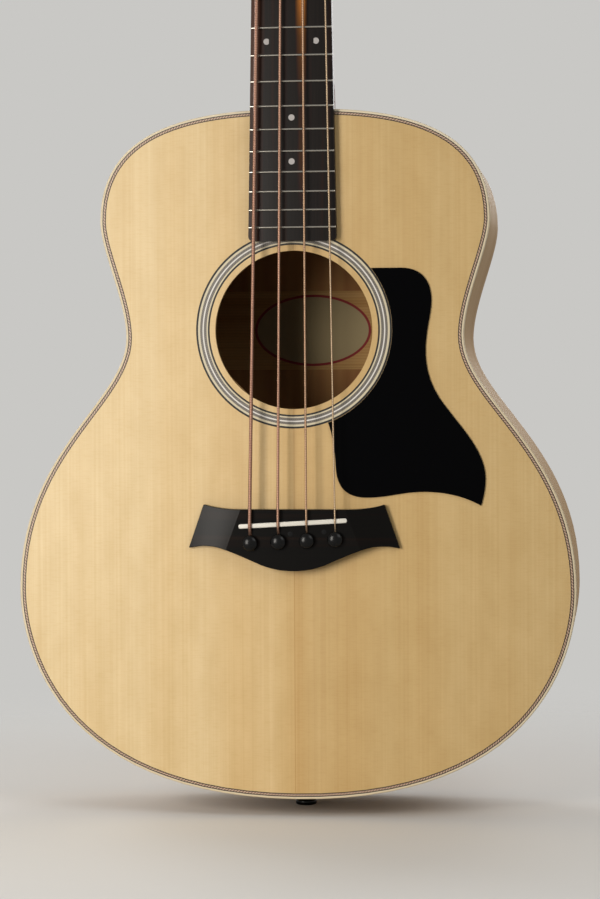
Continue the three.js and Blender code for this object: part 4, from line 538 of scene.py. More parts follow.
# A skin over rings of equal count, grown from ring to ring; "closed" joins the last ring to the first
def growRings(mesh, rings, closed=False):
    corners = [mesh.verts.new(point) for point in rings[0]]
    edges = [mesh.edges.new((corners[i - 1], corners[i])) for i in range(len(corners))]
    skin = {"first": list(edges), "strips": [], "steps": {corner: i for i, corner in enumerate(corners)}}
    for points in rings[1:] + (rings[:1] if closed else []):
        grown = bmesh.ops.extrude_edge_only(mesh, edges=edges)["geom"]
        fresh = {item for item in grown if isinstance(item, bmesh.types.BMVert)}
        edges = [item for item in grown if isinstance(item, bmesh.types.BMEdge)
                 and all(corner in fresh for corner in item.verts)]
        skin["strips"].append([item for item in grown if isinstance(item, bmesh.types.BMFace)])
        for corner in fresh:
            rooted = [edge.other_vert(corner) for edge in corner.link_edges if edge.other_vert(corner) not in fresh]
            skin["steps"][corner] = skin["steps"][rooted[0]]
            corner.co = points[skin["steps"][corner]]
    skin["last"] = edges
    return skin


# Gives each face its length along the rings as U, and as V what "acrossAt" says of a corner
def unrollRings(mesh, skin, outline, acrossAt):
    uvLayer = mesh.loops.layers.uv.verify()
    count = len(outline)
    lengths = [0.0]
    for first, second in zip(outline, outline[1:] + outline[:1]):
        lengths.append(lengths[-1] + (Vector(first) - Vector(second)).length)
    for face in mesh.faces:
        steps = [skin["steps"][loop.vert] for loop in face.loops]
        wraps = max(steps) - min(steps) > 1
        for loop, step in zip(face.loops, steps):
            along = lengths[count] if wraps and step == 0 else lengths[step]
            loop[uvLayer].uv = (along * millimetre, acrossAt(loop.vert.co) * millimetre)
    bmesh.ops.remove_doubles(mesh, verts=mesh.verts, dist=0.0005)


def bevelEdges(mesh, edges, width, segments):
    return bmesh.ops.bevel(mesh, geom=edges, offset=width, offset_type="OFFSET", segments=segments, profile=0.5,
                           affect="EDGES", material=-1, clamp_overlap=True)


# A closed plate from an outline in x and z, between two levels of y
def raisePlate(mesh, outline, front, back):
    corners = [mesh.verts.new((x, front, z)) for x, z in outline]
    face = mesh.faces.new(corners)
    raised = bmesh.ops.extrude_face_region(mesh, geom=[face])["geom"]
    moved = [item for item in raised if isinstance(item, bmesh.types.BMVert)]
    bmesh.ops.translate(mesh, vec=(0, back - front, 0), verts=moved)


def edgesAtLevel(mesh, level, axis=1):
    return [edge for edge in mesh.edges if all(abs(corner.co[axis] - level) < 0.001 for corner in edge.verts)
            and not edge.is_boundary and edge.calc_face_angle(0) > 0.5]


# A turned piece: a profile of (radius, height) pairs spun round the y axis, whose height runs to the front
def turnProfile(mesh, profile, centre, steps=48):
    corners = [mesh.verts.new((centre[0] + radius, centre[1] - height, centre[2])) for radius, height in profile]
    edges = [mesh.edges.new(pair) for pair in zip(corners, corners[1:])]
    bmesh.ops.spin(mesh, geom=corners + edges, cent=centre, axis=(0, 1, 0), angle=2 * pi, steps=steps, use_merge=True)
    bmesh.ops.remove_doubles(mesh, verts=mesh.verts, dist=0.0005)


# A round cord along points: a ring carried from point to point, with its length as U
def sweepCord(mesh, points, radius, sides, closeEnds=True):
    uvLayer = mesh.loops.layers.uv.verify()
    points = [Vector(point) for point in points]
    runs = [(after - before).normalized() for before, after in zip(points, points[1:])]
    tangents = [runs[0]] + [(a + b).normalized() for a, b in zip(runs, runs[1:])] + [runs[-1]]
    ring = bmesh.ops.create_circle(mesh, radius=radius, segments=sides)["verts"]
    turn = Vector((0, 0, 1)).rotation_difference(tangents[0]).to_matrix()
    bmesh.ops.transform(mesh, matrix=Matrix.Translation(points[0]) @ turn.to_4x4(), verts=ring)
    edges = list({edge for corner in ring for edge in corner.link_edges})
    firstRing = list(edges)
    length = 0.0
    for i in range(1, len(points)):
        step = (points[i] - points[i - 1]).length
        grown = bmesh.ops.extrude_edge_only(mesh, edges=edges)["geom"]
        ring = [item for item in grown if isinstance(item, bmesh.types.BMVert)]
        edges = [item for item in grown if isinstance(item, bmesh.types.BMEdge) and
                 all(corner in ring for corner in item.verts)]
        turn = tangents[i - 1].rotation_difference(tangents[i]).to_matrix().to_4x4()
        carry = Matrix.Translation(points[i]) @ turn @ Matrix.Translation(-points[i - 1])
        bmesh.ops.transform(mesh, matrix=carry, verts=ring)
        newCorners = set(ring)
        for face in {face for edge in edges for face in edge.link_faces}:
            for loop in face.loops:
                u = length + step if loop.vert in newCorners else length
                loop[uvLayer].uv = (u * millimetre, 0.5)
        length += step
    if closeEnds:
        bmesh.ops.contextual_create(mesh, geom=firstRing)
        bmesh.ops.contextual_create(mesh, geom=edges)


# Rounds the corners of a route
def roundedRoute(points, reach, steps=5):
    points = [Vector(point) for point in points]
    route = [points[0]]
    for before, corner, after in zip(points, points[1:], points[2:]):
        back = min(reach, (before - corner).length * 0.45)
        ahead = min(reach, (after - corner).length * 0.45)
        start = corner + (before - corner).normalized() * back
        end = corner + (after - corner).normalized() * ahead
        for i in range(steps + 1):
            share = i / steps
            route.append(start * (1 - share) ** 2 + corner * 2 * share * (1 - share) + end * share ** 2)
    route.append(points[-1])
    return route


# A carried-over node with finer edges: its copy is merged, its flats joined, and its sharp edges rounded
def dressCopy(node, material, edgeWidth=0.0, sharpAbove=35, rides="guitar", segments=2):
    mesh = bmesh.new()
    mesh.from_mesh(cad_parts[node].data)
    bmesh.ops.scale(mesh, vec=(1 / millimetre,) * 3, verts=mesh.verts)
    bmesh.ops.remove_doubles(mesh, verts=mesh.verts, dist=0.001)
    if edgeWidth:
        bmesh.ops.dissolve_limit(mesh, angle_limit=radians(0.6), verts=mesh.verts, edges=mesh.edges)
        sharp = [edge for edge in mesh.edges if edge.is_manifold and edge.calc_face_angle(0) > radians(50)]
        bevelEdges(mesh, sharp, edgeWidth, segments)
    return finishPiece(mesh, node + "_dressed", [material], rides=rides, replaced=[node], sharpAbove=sharpAbove)


# Body: outline from four curves a side, tail to neck

def halfOutline():
    tail = Vector((0, body["tailZ"]))
    lower = Vector((body["lowerBoutHalf"], body["tailZ"] + body["lowerBoutHeight"]))
    waist = Vector((body["waistHalf"], body["tailZ"] + body["waistHeight"]))
    upper = Vector((body["upperBoutHalf"], body["tailZ"] + body["upperBoutHeight"]))
    top = Vector((0, bodyTopZ))
    share = body["handles"]
    toLower, toWaist, toUpper, toTop = lower.y - tail.y, waist.y - lower.y, upper.y - waist.y, top.y - upper.y
    curves = [
        (tail, Vector((lower.x * share["tail"], tail.y)), lower - Vector((0, share["lowerBelow"] * toLower)), lower),
        (lower, lower + Vector((0, share["lowerAbove"] * toWaist)), waist - Vector((0, share["waistBelow"] * toWaist)),
         waist),
        (waist, waist + Vector((0, share["waistAbove"] * toUpper)), upper - Vector((0, share["upperBelow"] * toUpper)),
         upper),
        (upper, upper + Vector((0, share["upperAbove"] * toTop)), Vector((upper.x * share["top"], top.y)), top),
    ]
    points = [tail]
    for curve in curves:
        points += [Vector(point[:2]) for point in interpolate_bezier(*curve, body["pointsPerCurve"])[1:]]
    return points


rimHalf = halfOutline()


def outlineAt(inset):
    right = []
    for i, point in enumerate(rimHalf):
        before = rimHalf[max(i - 1, 0)] if i else Vector((-rimHalf[1].x, rimHalf[1].y))
        after = rimHalf[i + 1] if i + 1 < len(rimHalf) else Vector((-rimHalf[-2].x, rimHalf[-2].y))
        along = (after - before).normalized()
        right.append(point + Vector((-along.y, along.x)) * inset)
    return [(p.x, p.y) for p in right] + [(-p.x, p.y) for p in reversed(right[1:-1])]


def circlePoints(radius, y, count, centreZ=None):
    centreZ = soundhole["z"] if centreZ is None else centreZ
    return [(radius * cos(2 * pi * i / count), y, centreZ + radius * sin(2 * pi * i / count)) for i in range(count)]


def buildSoundboard():
    mesh = bmesh.new()
    rim = drawLoop(mesh, [(x, frontY, z) for x, z in outlineAt(body["edgeStrip"])])
    hole = drawLoop(mesh, circlePoints(soundhole["radius"], frontY, soundhole["facets"]))
    bmesh.ops.triangle_fill(mesh, edges=rim + hole, use_beauty=False, normal=(0, -1, 0))
    grown = bmesh.ops.extrude_face_region(mesh, geom=mesh.faces[:])["geom"]
    moved = [item for item in grown if isinstance(item, bmesh.types.BMVert)]
    bmesh.ops.translate(mesh, vec=(0, body["topThickness"], 0), verts=moved)
    return finishPiece(mesh, "spruceTop", [spruce], replaced=["soundboard"], evenFlats=True)


# The pale strip let in round the top's edge, with its rounded corner
def buildEdgeStrip():
    mesh = bmesh.new()
    back = frontY + body["topThickness"]
    rings = [(0, back), (0, frontY), (body["edgeStrip"] + 0.05, frontY), (body["edgeStrip"] + 0.05, back)]
    skin = growRings(mesh, [[(x, level, z) for x, z in outlineAt(inset)] for inset, level in rings], closed=True)
    unrollRings(mesh, skin, outlineAt(0), lambda spot: spot.y + 60)
    outer = {(round(x, 3), round(z, 3)) for x, z in outlineAt(0)}
    corner = [edge for edge in edgesAtLevel(mesh, frontY)
              if all((round(c.co.x, 3), round(c.co.z, 3)) in outer for c in edge.verts)]
    bevelEdges(mesh, corner, 1.0, 4)
    return finishPiece(mesh, "mapleEdgeStrip", [edgeMaple], sharpAbove=50)


# A flat inlaid ring between two outlines of equal count, standing a hair proud
def layInlay(name, outer, inner, material, replaced=()):
    proud, depth = 0.05, 0.5
    mesh = bmesh.new()
    levels = [(outer, frontY + depth), (outer, frontY - proud), (inner, frontY - proud), (inner, frontY + depth)]
    skin = growRings(mesh, [[(x, level, z) for x, z in points] for points, level in levels], closed=True)
    outerSpots = {(round(x, 3), round(z, 3)) for x, z in outer}
    unrollRings(mesh, skin, outer, lambda spot: 0 if (round(spot.x, 3), round(spot.z, 3)) in outerSpots else 1.2)
    return finishPiece(mesh, name, [material], replaced=replaced)


def buildInlays():
    purfling = [  # insets from the edge
        ("purflingOuterLine", 1.6, 2.15, brownLine, ["purfling"]),
        ("purflingStrokes", 2.15, 3.3, brownInlay, []),
        ("purflingInnerLine", 3.3, 3.85, brownLine, []),
    ]
    for name, outer, inner, material, replaced in purfling:
        layInlay(name, outlineAt(outer), outlineAt(inner), material, replaced)
    rosette = [  # radii
        ("rosetteOuterLine", 63.8, 62.55, blackLine, ["rosette"]),
        ("rosetteOuterCream", 62.55, 61.2, creamLine, []),
        ("rosetteOuterStrokes", 61.2, 59.6, greyInlay, []),
        ("rosetteWhiteLine", 59.6, 58.75, whiteLine, []),
        ("rosetteInnerStrokes", 58.75, 57.0, greyInlay, []),
        ("rosetteInnerCream", 57.0, 56.1, creamLine, []),
        ("rosetteInnerLine", 56.1, 54.95, blackLine, []),
    ]
    for name, outer, inner, material, replaced in rosette:
        rings = [[(x, z) for x, y, z in circlePoints(radius, 0, soundhole["facets"])] for radius in (outer, inner)]
        layInlay(name, rings[0], rings[1], material, replaced)


def buildSides():
    mesh = bmesh.new()
    front = frontY + body["topThickness"] + 0.02
    rimBack = lambda z: frontY + rimDepthAt(z) - body["backThickness"] - 0.02
    levels = [(0, lambda z: front), (0, rimBack), (body["sideThickness"], rimBack),
              (body["sideThickness"], lambda z: front)]
    skin = growRings(mesh, [[(x, levelAt(z), z) for x, z in outlineAt(inset)] for inset, levelAt in levels],
                     closed=True)
    for face in skin["strips"][2]:
        face.material_index = 1
    unrollRings(mesh, skin, outlineAt(0), lambda spot: spot.y + 60)
    return finishPiece(mesh, "mapleSides", [sideMaple, innerPly], replaced=["bass_side", "treble_side"])


def buildBack():
    mesh = bmesh.new()
    centreZ = body["tailZ"] + body["waistHeight"]
    outline = outlineAt(0)
    rings = 20

    def place(x, z, share, lift):
        px, pz = x * share, centreZ + (z - centreZ) * share
        rise = body["backArch"] * (1 - share ** 2)
        return (px, frontY + rimDepthAt(pz) - body["backThickness"] + rise + lift, pz)

    shares = [1 - (i / rings) ** 1.2 for i in range(rings)]
    outside = [[place(x, z, share, body["backThickness"]) for x, z in outline] for share in shares]
    inside = [[place(x, z, share, 0) for x, z in outline] for share in shares]
    skin = growRings(mesh, outside[::-1] + inside)
    for strip in skin["strips"][rings:]:
        for face in strip:
            face.material_index = 1
    for side, loop in enumerate((skin["first"], skin["last"])):
        cap = bmesh.ops.contextual_create(mesh, geom=loop)["faces"]
        for face in bmesh.ops.poke(mesh, faces=cap)["faces"]:
            face.material_index = side
    rimEdge = [edge for edge in mesh.edges if edge.is_manifold and edge.calc_face_angle(0) > 1.0
               and all(abs(corner.co.y - place(corner.co.x, corner.co.z, 1, body["backThickness"])[1]) < 0.01
                       for corner in edge.verts)]
    bevelEdges(mesh, rimEdge, body["edgeRound"], 3)
    return finishPiece(mesh, "mapleBack", [backMaple, innerPly], replaced=["back"])


buildSoundboard()
buildEdgeStrip()
buildInlays()
buildSides()
buildBack()
print("the body is built")


# Label: bare paper with a printed border, on a pale sheet across the back's inside that is painted light, the band of
# light through the soundhole

paintedLightSheet = {"halfLength": 96.0, "halfHeight": 27.0, "lift": 0.02, "thickness": 0.07}
label = {"x": -0.8, "z": 319.0, "halfWidth": 40.3, "halfHeight": 24.6, "border": 1.7, "thickness": 0.15}


# The level of the back's inside, whose arch falls from the middle of the waist to the rim
def backInsideAt(x, z):
    centre = Vector((0, body["tailZ"] + body["waistHeight"]))
    away = Vector((abs(x), z)) - centre
    far = centre + away.normalized() * 400
    hits = [intersect_line_line_2d(centre, far, first, second) for first, second in zip(rimHalf, rimHalf[1:])]
    reach = [(hit - centre).length for hit in hits if hit]
    share = away.length / reach[0] if reach else 1.0
    return frontY + rimDepthAt(z) - body["backThickness"] + body["backArch"] * (1 - share ** 2)


# A thin paler sheet on the back's inside behind the label: painted light, where the light through the soundhole falls
def buildPaintedLightSheet():
    mesh = bmesh.new()
    bmesh.ops.create_grid(mesh, x_segments=48, y_segments=6, size=1)
    for corner in mesh.verts:
        x, z = corner.co.x * paintedLightSheet["halfLength"], label["z"] + corner.co.y * paintedLightSheet["halfHeight"]
        corner.co = (x, backInsideAt(x, z) - paintedLightSheet["lift"], z)
    raised = bmesh.ops.extrude_face_region(mesh, geom=mesh.faces[:], use_keep_orig=True)["geom"]
    moved = [item for item in raised if isinstance(item, bmesh.types.BMVert)]
    bmesh.ops.translate(mesh, vec=(0, -paintedLightSheet["thickness"], 0), verts=moved)
    finishPiece(mesh, "paleSheetOfPaintedLight", [paintedLightBand])


def buildLabel():
    mesh = bmesh.new()
    outer = (label["halfWidth"], label["halfHeight"])
    inner = [half - label["border"] for half in outer]
    halves = [outer, inner] + [[half * share for half in inner] for share in (0.75, 0.5, 0.25, 0.08)]
    rings = []
    for width, height in halves:
        spots = [(label["x"] + width * cos(2 * pi * i / 96), label["z"] + height * sin(2 * pi * i / 96))
                 for i in range(96)]
        rings.append([(x, backInsideAt(x, z) - 0.1, z) for x, z in spots])
    skin = growRings(mesh, rings)
    middle = bmesh.ops.contextual_create(mesh, geom=skin["last"])["faces"]
    for face in [face for strip in skin["strips"][1:] for face in strip] + middle:
        face.material_index = 1
    raised = bmesh.ops.extrude_face_region(mesh, geom=mesh.faces[:], use_keep_orig=True)["geom"]
    moved = [item for item in raised if isinstance(item, bmesh.types.BMVert)]
    bmesh.ops.translate(mesh, vec=(0, -label["thickness"], 0), verts=moved)
    finishPiece(mesh, "paperLabel", [labelBorder, labelPaper])


# Pickguard: drawn about the soundhole's centre, its inner edge round the rosette

pickguard = {"reach": 123.8, "drop": 113.6, "rise": 39.5, "ring": 64.0, "thickness": 1.2, "bottomShare": 0.18}


def buildPickguard():
    def spot(xShare, zShare):
        tall = pickguard["rise"] if zShare > 0 else pickguard["drop"]
        return Vector((pickguard["reach"] * xShare, soundhole["z"] + tall * zShare))

    def bent(a, b, c, d):  # one curve, without its first point
        return [Vector(point[:2]) for point in interpolate_bezier(a, b, c, d, 14)[1:]]

    def swept(a, b, c):  # the same from a single handle
        return bent(a, a.lerp(b, 2 / 3), c.lerp(b, 2 / 3), c)

    ring = pickguard["ring"]
    topAngle = acos(sqrt(1 - (pickguard["rise"] / ring) ** 2))
    bottomAngle = -acos(pickguard["reach"] * pickguard["bottomShare"] / ring)
    bottomEnd = Vector((ring * cos(bottomAngle), soundhole["z"] + ring * sin(bottomAngle)))
    outline = [Vector((ring * cos(topAngle), soundhole["z"] + pickguard["rise"])), spot(0.56, 1)]
    outline += bent(spot(0.56, 1), spot(0.67, 1), spot(0.722, 0.79), spot(0.722, 0.455))
    outline += bent(spot(0.722, 0.455), spot(0.722, 0.12), spot(0.63, -0.17), spot(0.762, -0.39))
    outline += bent(spot(0.762, -0.39), spot(0.856, -0.54), spot(1, -0.68), spot(1, -0.845))
    outline += bent(spot(1, -0.845), spot(1, -0.895), spot(0.992, -0.947), spot(0.977, -1))
    outline += bent(spot(0.977, -1), spot(0.89, -0.946), spot(0.79, -0.922), spot(0.68, -0.922))
    outline += bent(spot(0.68, -0.922), spot(0.56, -0.922), spot(0.5, -0.955), spot(0.38, -0.955))
    outline += bent(spot(0.38, -0.955), spot(0.26, -0.955), spot(0.222, -0.88), spot(0.219, -0.77))
    outline += swept(spot(0.219, -0.77), spot(0.211, -0.62), bottomEnd)
    steps = 48
    for i in range(1, steps):
        angle = bottomAngle + (topAngle - bottomAngle) * i / steps
        outline.append(Vector((ring * cos(angle), soundhole["z"] + ring * sin(angle))))
    mesh = bmesh.new()
    raisePlate(mesh, outline, frontY - pickguard["thickness"], frontY - 0.02)
    bevelEdges(mesh, edgesAtLevel(mesh, frontY - pickguard["thickness"]), 0.45, 3)
    finishPiece(mesh, "pickguardSheet", [pickguardPlastic], replaced=["pickguard"], evenFlats=True)


# Bridge: scooped wings either side of a thick block, and a belly behind the pins

bridge = {
    "height": 8.5, "wingTip": 3.0, "half": 68.9, "topCornerHalf": 58.9, "flatTopHalf": 36.0, "topEdge": 9.0,
    "topCornerEdge": 12.2, "wingBottomEdge": 15.0, "bottomCornerEdge": 16.3, "bellyEdge": 30.8,
    "blockHalfTop": 34.0, "blockHalfBottom": 43.0, "edgeRound": 0.7, "cornerRound": 0.8, "scoopCuts": 14,
    "scoopPower": 1.7, "plugRadius": 1.6, "plugs": ((-1.6, 15.7), (20.4, 14.3)),
}


def bridgeOutline():
    half = bridge["half"]
    dip = lambda share: saddleZ + bridge["topEdge"] + (bridge["topCornerEdge"] - bridge["topEdge"]) * share
    belly = lambda share: saddleZ - bridge["wingBottomEdge"] - (
        bridge["bellyEdge"] - bridge["wingBottomEdge"]) * share
    flatTop = (bridge["flatTopHalf"], saddleZ + bridge["topEdge"])
    topCorner = (bridge["topCornerHalf"], saddleZ + bridge["topCornerEdge"])
    bottomCorner = (half, saddleZ - bridge["bottomCornerEdge"])
    curves = [  # the treble half, from the flat top round to the middle of the belly
        (flatTop, (half * 0.67, dip(0)), (half * 0.79, dip(0.5)), topCorner),
        (bottomCorner, (half * 0.93, belly(0)), (half * 0.86, belly(-0.02)), (half * 0.79, belly(0))),
        ((half * 0.79, belly(0)), (half * 0.67, belly(0.04)), (half * 0.52, belly(0.34)), (half * 0.3, belly(0.76))),
        ((half * 0.3, belly(0.76)), (half * 0.19, belly(0.94)), (half * 0.09, belly(1)), (0, belly(1))),
    ]
    points = [Vector(flatTop)]
    for curve in curves:
        if curve[0] == bottomCorner:
            points.append(Vector(bottomCorner))
        points += [Vector(point[:2]) for point in interpolate_bezier(*[Vector(c) for c in curve], 13)[1:]]
    return points + [Vector((-point.x, point.y)) for point in reversed(points[:-1])]


def blockHalfAt(z):
    share = (saddleZ + bridge["topEdge"] - z) / (bridge["topEdge"] + bridge["wingBottomEdge"])
    return bridge["blockHalfTop"] + (bridge["blockHalfBottom"] - bridge["blockHalfTop"]) * share


def bridgeHeightAt(x, z):
    block = blockHalfAt(z)
    share = min(1.0, max(0.0, (abs(x) - block) / (bridge["half"] + 3 - block)))
    return bridge["wingTip"] + (bridge["height"] - bridge["wingTip"]) * (1 - share) ** bridge["scoopPower"]


pinSizes = {"behind": 11.4, "slant": radians(2.7), "spread": 55.3, "headRadius": 5.1, "headHeight": 5.2}
strings = [
    {"name": "e", "diameter": 2.3, "side": -1, "row": 0},
    {"name": "a", "diameter": 1.75, "side": -1, "row": 1},
    {"name": "d", "diameter": 1.4, "side": 1, "row": 1},
    {"name": "g", "diameter": 1.1, "side": 1, "row": 0},
]


def pinPlace(index):
    x = pinSizes["spread"] * (index / 3 - 0.5)
    return x, saddleZ - pinSizes["behind"] + x * tan(pinSizes["slant"])


saddle = {"length": 70.8, "thickness": 3.0, "slant": radians(3.3), "floor": 3.5, "crest": 0.0}
stringRise = {"overBoard": 1.5, "saddleLift": 3.8, "gap": 0.3, "nutPlaces": (-17.1, -4.4, 7.0, 18.3)}
saddle["crest"] = board["height"] + stringRise["overBoard"] + stringRise["saddleLift"] - stringRise["gap"]


def buildBridge():
    mesh = bmesh.new()
    raisePlate(mesh, bridgeOutline(), frontY - bridge["height"], frontY)
    # cuts along the scoop's lines, so that the wings can fall between them
    for side in (-1, 1):
        for share in [cut / bridge["scoopCuts"] for cut in range(bridge["scoopCuts"])]:
            ends = []
            for z in (saddleZ + 12.0, saddleZ - 16.0):
                block = blockHalfAt(z)
                ends.append(Vector((side * (block + (bridge["half"] + 3 - block) * share), frontY, z)))
            across = (ends[1] - ends[0]).cross(Vector((0, 1, 0))).normalized()
            bmesh.ops.bisect_plane(mesh, geom=mesh.verts[:] + mesh.edges[:] + mesh.faces[:], plane_co=ends[0],
                                   plane_no=across, dist=0.001)
    for corner in mesh.verts:
        if corner.co.y < frontY - 1:
            corner.co.y = frontY - bridgeHeightAt(corner.co.x, corner.co.z)
    upright = [edge for edge in mesh.edges if edge.is_manifold and edge.calc_face_angle(0) > radians(40)
               and abs(edge.verts[0].co.y - edge.verts[1].co.y) > 1]
    bevelEdges(mesh, upright, bridge["cornerRound"], 3)
    rim = [edge for edge in mesh.edges if all(corner.co.y < frontY - 1 for corner in edge.verts)
           and edge.is_manifold and edge.calc_face_angle(0) > radians(60)]
    bevelEdges(mesh, rim, bridge["edgeRound"], 3)
    piece = finishPiece(mesh, "ebonyBridge", [bridgeEbony], replaced=["bridge"], evenFlats=True)
    for edge in piece.data.edges:  # the crease where each wing leaves the block stays crisp
        ends = [piece.data.vertices[i].co / millimetre for i in edge.vertices]
        if all(abs(abs(end.x) - blockHalfAt(end.z)) < 0.02 and end.y < frontY - 6 for end in ends):
            edge.use_edge_sharp = True
    for index, (x, below) in enumerate(bridge["plugs"]):
        plug = bmesh.new()
        turnProfile(plug, [(0, 7.0), (bridge["plugRadius"], 7.0), (bridge["plugRadius"], bridge["height"] + 0.05),
                           (0, bridge["height"] + 0.12)], (x, frontY, saddleZ + 9 - below), 24)
        finishPiece(plug, "bridgePlug_%d" % index, [mouldedBlack])


def buildSaddle():
    mesh = bmesh.new()
    bmesh.ops.create_cube(mesh, size=1)
    bmesh.ops.scale(mesh, vec=(saddle["length"], saddle["crest"] - saddle["floor"], saddle["thickness"]),
                    verts=mesh.verts)
    upright = [edge for edge in mesh.edges if abs(edge.verts[0].co.y - edge.verts[1].co.y) > 1]
    bevelEdges(mesh, upright, saddle["thickness"] / 2 - 0.05, 5)
    bmesh.ops.translate(mesh, vec=(0, frontY - (saddle["crest"] + saddle["floor"]) / 2, 0), verts=mesh.verts)
    for step in range(1, 16):
        x = saddle["length"] * (step / 16 - 0.5)
        bmesh.ops.bisect_plane(mesh, geom=mesh.verts[:] + mesh.edges[:] + mesh.faces[:], plane_co=(x, 0, 0),
                               plane_no=(1, 0, 0), dist=0.001)
    for corner in mesh.verts:
        if corner.co.y < frontY - saddle["crest"] + 1:
            corner.co.y += crownDrop(corner.co.x)
    top = [edge for edge in mesh.edges if all(corner.co.y < frontY - saddle["crest"] + 2.5 for corner in edge.verts)
           and edge.is_manifold and edge.calc_face_angle(0) > radians(60)]
    bevelEdges(mesh, top, 0.9, 3)
    bmesh.ops.rotate(mesh, cent=(0, 0, 0), matrix=Matrix.Rotation(-saddle["slant"], 3, "Y"), verts=mesh.verts)
    bmesh.ops.translate(mesh, vec=(0, 0, saddleZ), verts=mesh.verts)
    finishPiece(mesh, "polishedSaddle", [whiteNut], replaced=["saddle"], evenFlats=True)


def buildPins():
    radius, tall, seat = pinSizes["headRadius"], pinSizes["headHeight"], bridge["height"]
    profile = [(0, seat - 16), (2.3, seat - 16), (2.7, seat), (3.5, seat + 0.03), (3.6, seat + 0.55)]
    low, middle = seat + 0.6, seat + 2.5  # the ball head swells from its collar and closes in a flatter dome
    profile += [(3.6 + (radius - 3.6) * sin(i * pi / 12), low + (middle - low) * (1 - cos(i * pi / 12)))
                for i in range(1, 7)]
    profile += [(radius * cos(i * pi / 20), middle + (seat + tall - middle) * sin(i * pi / 20)) for i in range(1, 11)]
    for index, string in enumerate(strings):
        x, z = pinPlace(index)
        mesh = bmesh.new()
        turnProfile(mesh, profile, (x, frontY, z), 40)
        finishPiece(mesh, "bridgePin_" + string["name"], [mouldedBlack], replaced=["bridge_pin_" + string["name"]],
                    sharpAbove=50)


# Fingerboard with a crowned top, its frets and its dots

def buildBoard():
    endZ = nutZ - board["length"]
    radius, endHalf, topHalf = board["cornerRadius"], boardHalfAt(endZ), boardHalfAt(nutZ)
    corner = [(endHalf - radius + radius * sin(angle), endZ + radius - radius * cos(angle))
              for angle in [i * pi / 12 for i in range(7)]]
    outline = [(topHalf, nutZ)] + list(reversed(corner)) + [(-x, z) for x, z in corner] + [(-topHalf, nutZ)]
    mesh = bmesh.new()
    raisePlate(mesh, outline, frontY - board["height"], frontY - 0.02)
    for step in range(1, 16):
        x = 2 * endHalf * (step / 16 - 0.5)
        bmesh.ops.bisect_plane(mesh, geom=mesh.verts[:] + mesh.edges[:] + mesh.faces[:], plane_co=(x, 0, 0),
                               plane_no=(1, 0, 0), dist=0.001)
    for point in mesh.verts:
        if point.co.y < frontY - board["height"] + 0.1:
            point.co.y += crownDrop(point.co.x)
    rim = [edge for edge in mesh.edges if all(point.co.y < frontY - 4 for point in edge.verts)
           and edge.is_manifold and edge.calc_face_angle(0) > radians(60)]
    bevelEdges(mesh, rim, 0.5, 2)
    finishPiece(mesh, "ebonyBoard", [boardEbony], replaced=["fingerboard"], evenFlats=True)


def buildFrets():
    halfWidth, tall = board["fretWidth"] / 2, board["fretHeight"]
    centreY = frontY - board["height"] + board["crownRadius"]
    for number in range(1, 21):
        z = nutZ - fretDistance(number)
        reach = boardHalfAt(z) - board["fretInset"]
        sweep = 2 * acos(sqrt(1 - (reach / board["crownRadius"]) ** 2))
        mesh = bmesh.new()
        profile = [(-halfWidth, -0.3)] + [(-halfWidth * cos(i * pi / 8), tall * sin(i * pi / 8)) for i in range(9)]
        profile.append((halfWidth, -0.3))
        start = [mesh.verts.new((0, centreY - board["crownRadius"] - rise, z + along)) for along, rise in profile]
        face = mesh.faces.new(start)
        bmesh.ops.rotate(mesh, cent=(0, centreY, 0), matrix=Matrix.Rotation(-sweep / 2, 3, "Z"), verts=mesh.verts)
        bmesh.ops.spin(mesh, geom=[face], cent=(0, centreY, 0), axis=(0, 0, 1), angle=sweep, steps=12,
                       use_merge=False)
        ends = [edge for edge in mesh.edges if edge.is_manifold and edge.calc_face_angle(0) > radians(80)
                and abs(edge.verts[0].co.x) > reach - 0.5]
        bevelEdges(mesh, ends, 0.25, 2)
        finishPiece(mesh, "fret_%02d" % number, [fretSilver], sharpAbove=50)


def buildDots():
    def dot(name, x, z, radius):
        mesh = bmesh.new()
        crest = frontY - board["height"] + crownDrop(x)
        outline = [(x + radius * cos(2 * pi * i / 28), z + radius * sin(2 * pi * i / 28)) for i in range(28)]
        raisePlate(mesh, outline, crest - 0.06, crest + 0.6)
        finishPiece(mesh, name, [pearlDot])

    for number in (3, 5, 7, 9, 15, 17):
        z = nutZ - (fretDistance(number) + fretDistance(number - 1)) / 2
        dot("dot_%02d" % number, 0, z, 2.0)
    z = nutZ - (fretDistance(12) + fretDistance(11)) / 2
    dot("dot_12_bass", -16, z, 2.0)
    dot("dot_12_treble", 16, z, 2.0)
    for number in (3, 5, 7, 9, 12, 15, 17):  # small ones on the edge, for the player
        z = nutZ - (fretDistance(number) + fretDistance(number - 1)) / 2
        mesh = bmesh.new()
        side = bmesh.ops.create_cone(mesh, cap_ends=True, segments=20, radius1=1.0, radius2=1.0, depth=0.8)["verts"]
        turn = Matrix.Translation((0.34 - boardHalfAt(z), frontY - board["height"] / 2, z)) @ Matrix.Rotation(pi / 2, 4, "Y")
        bmesh.ops.transform(mesh, matrix=turn, verts=side)
        finishPiece(mesh, "sideDot_%02d" % number, [pearlDot])


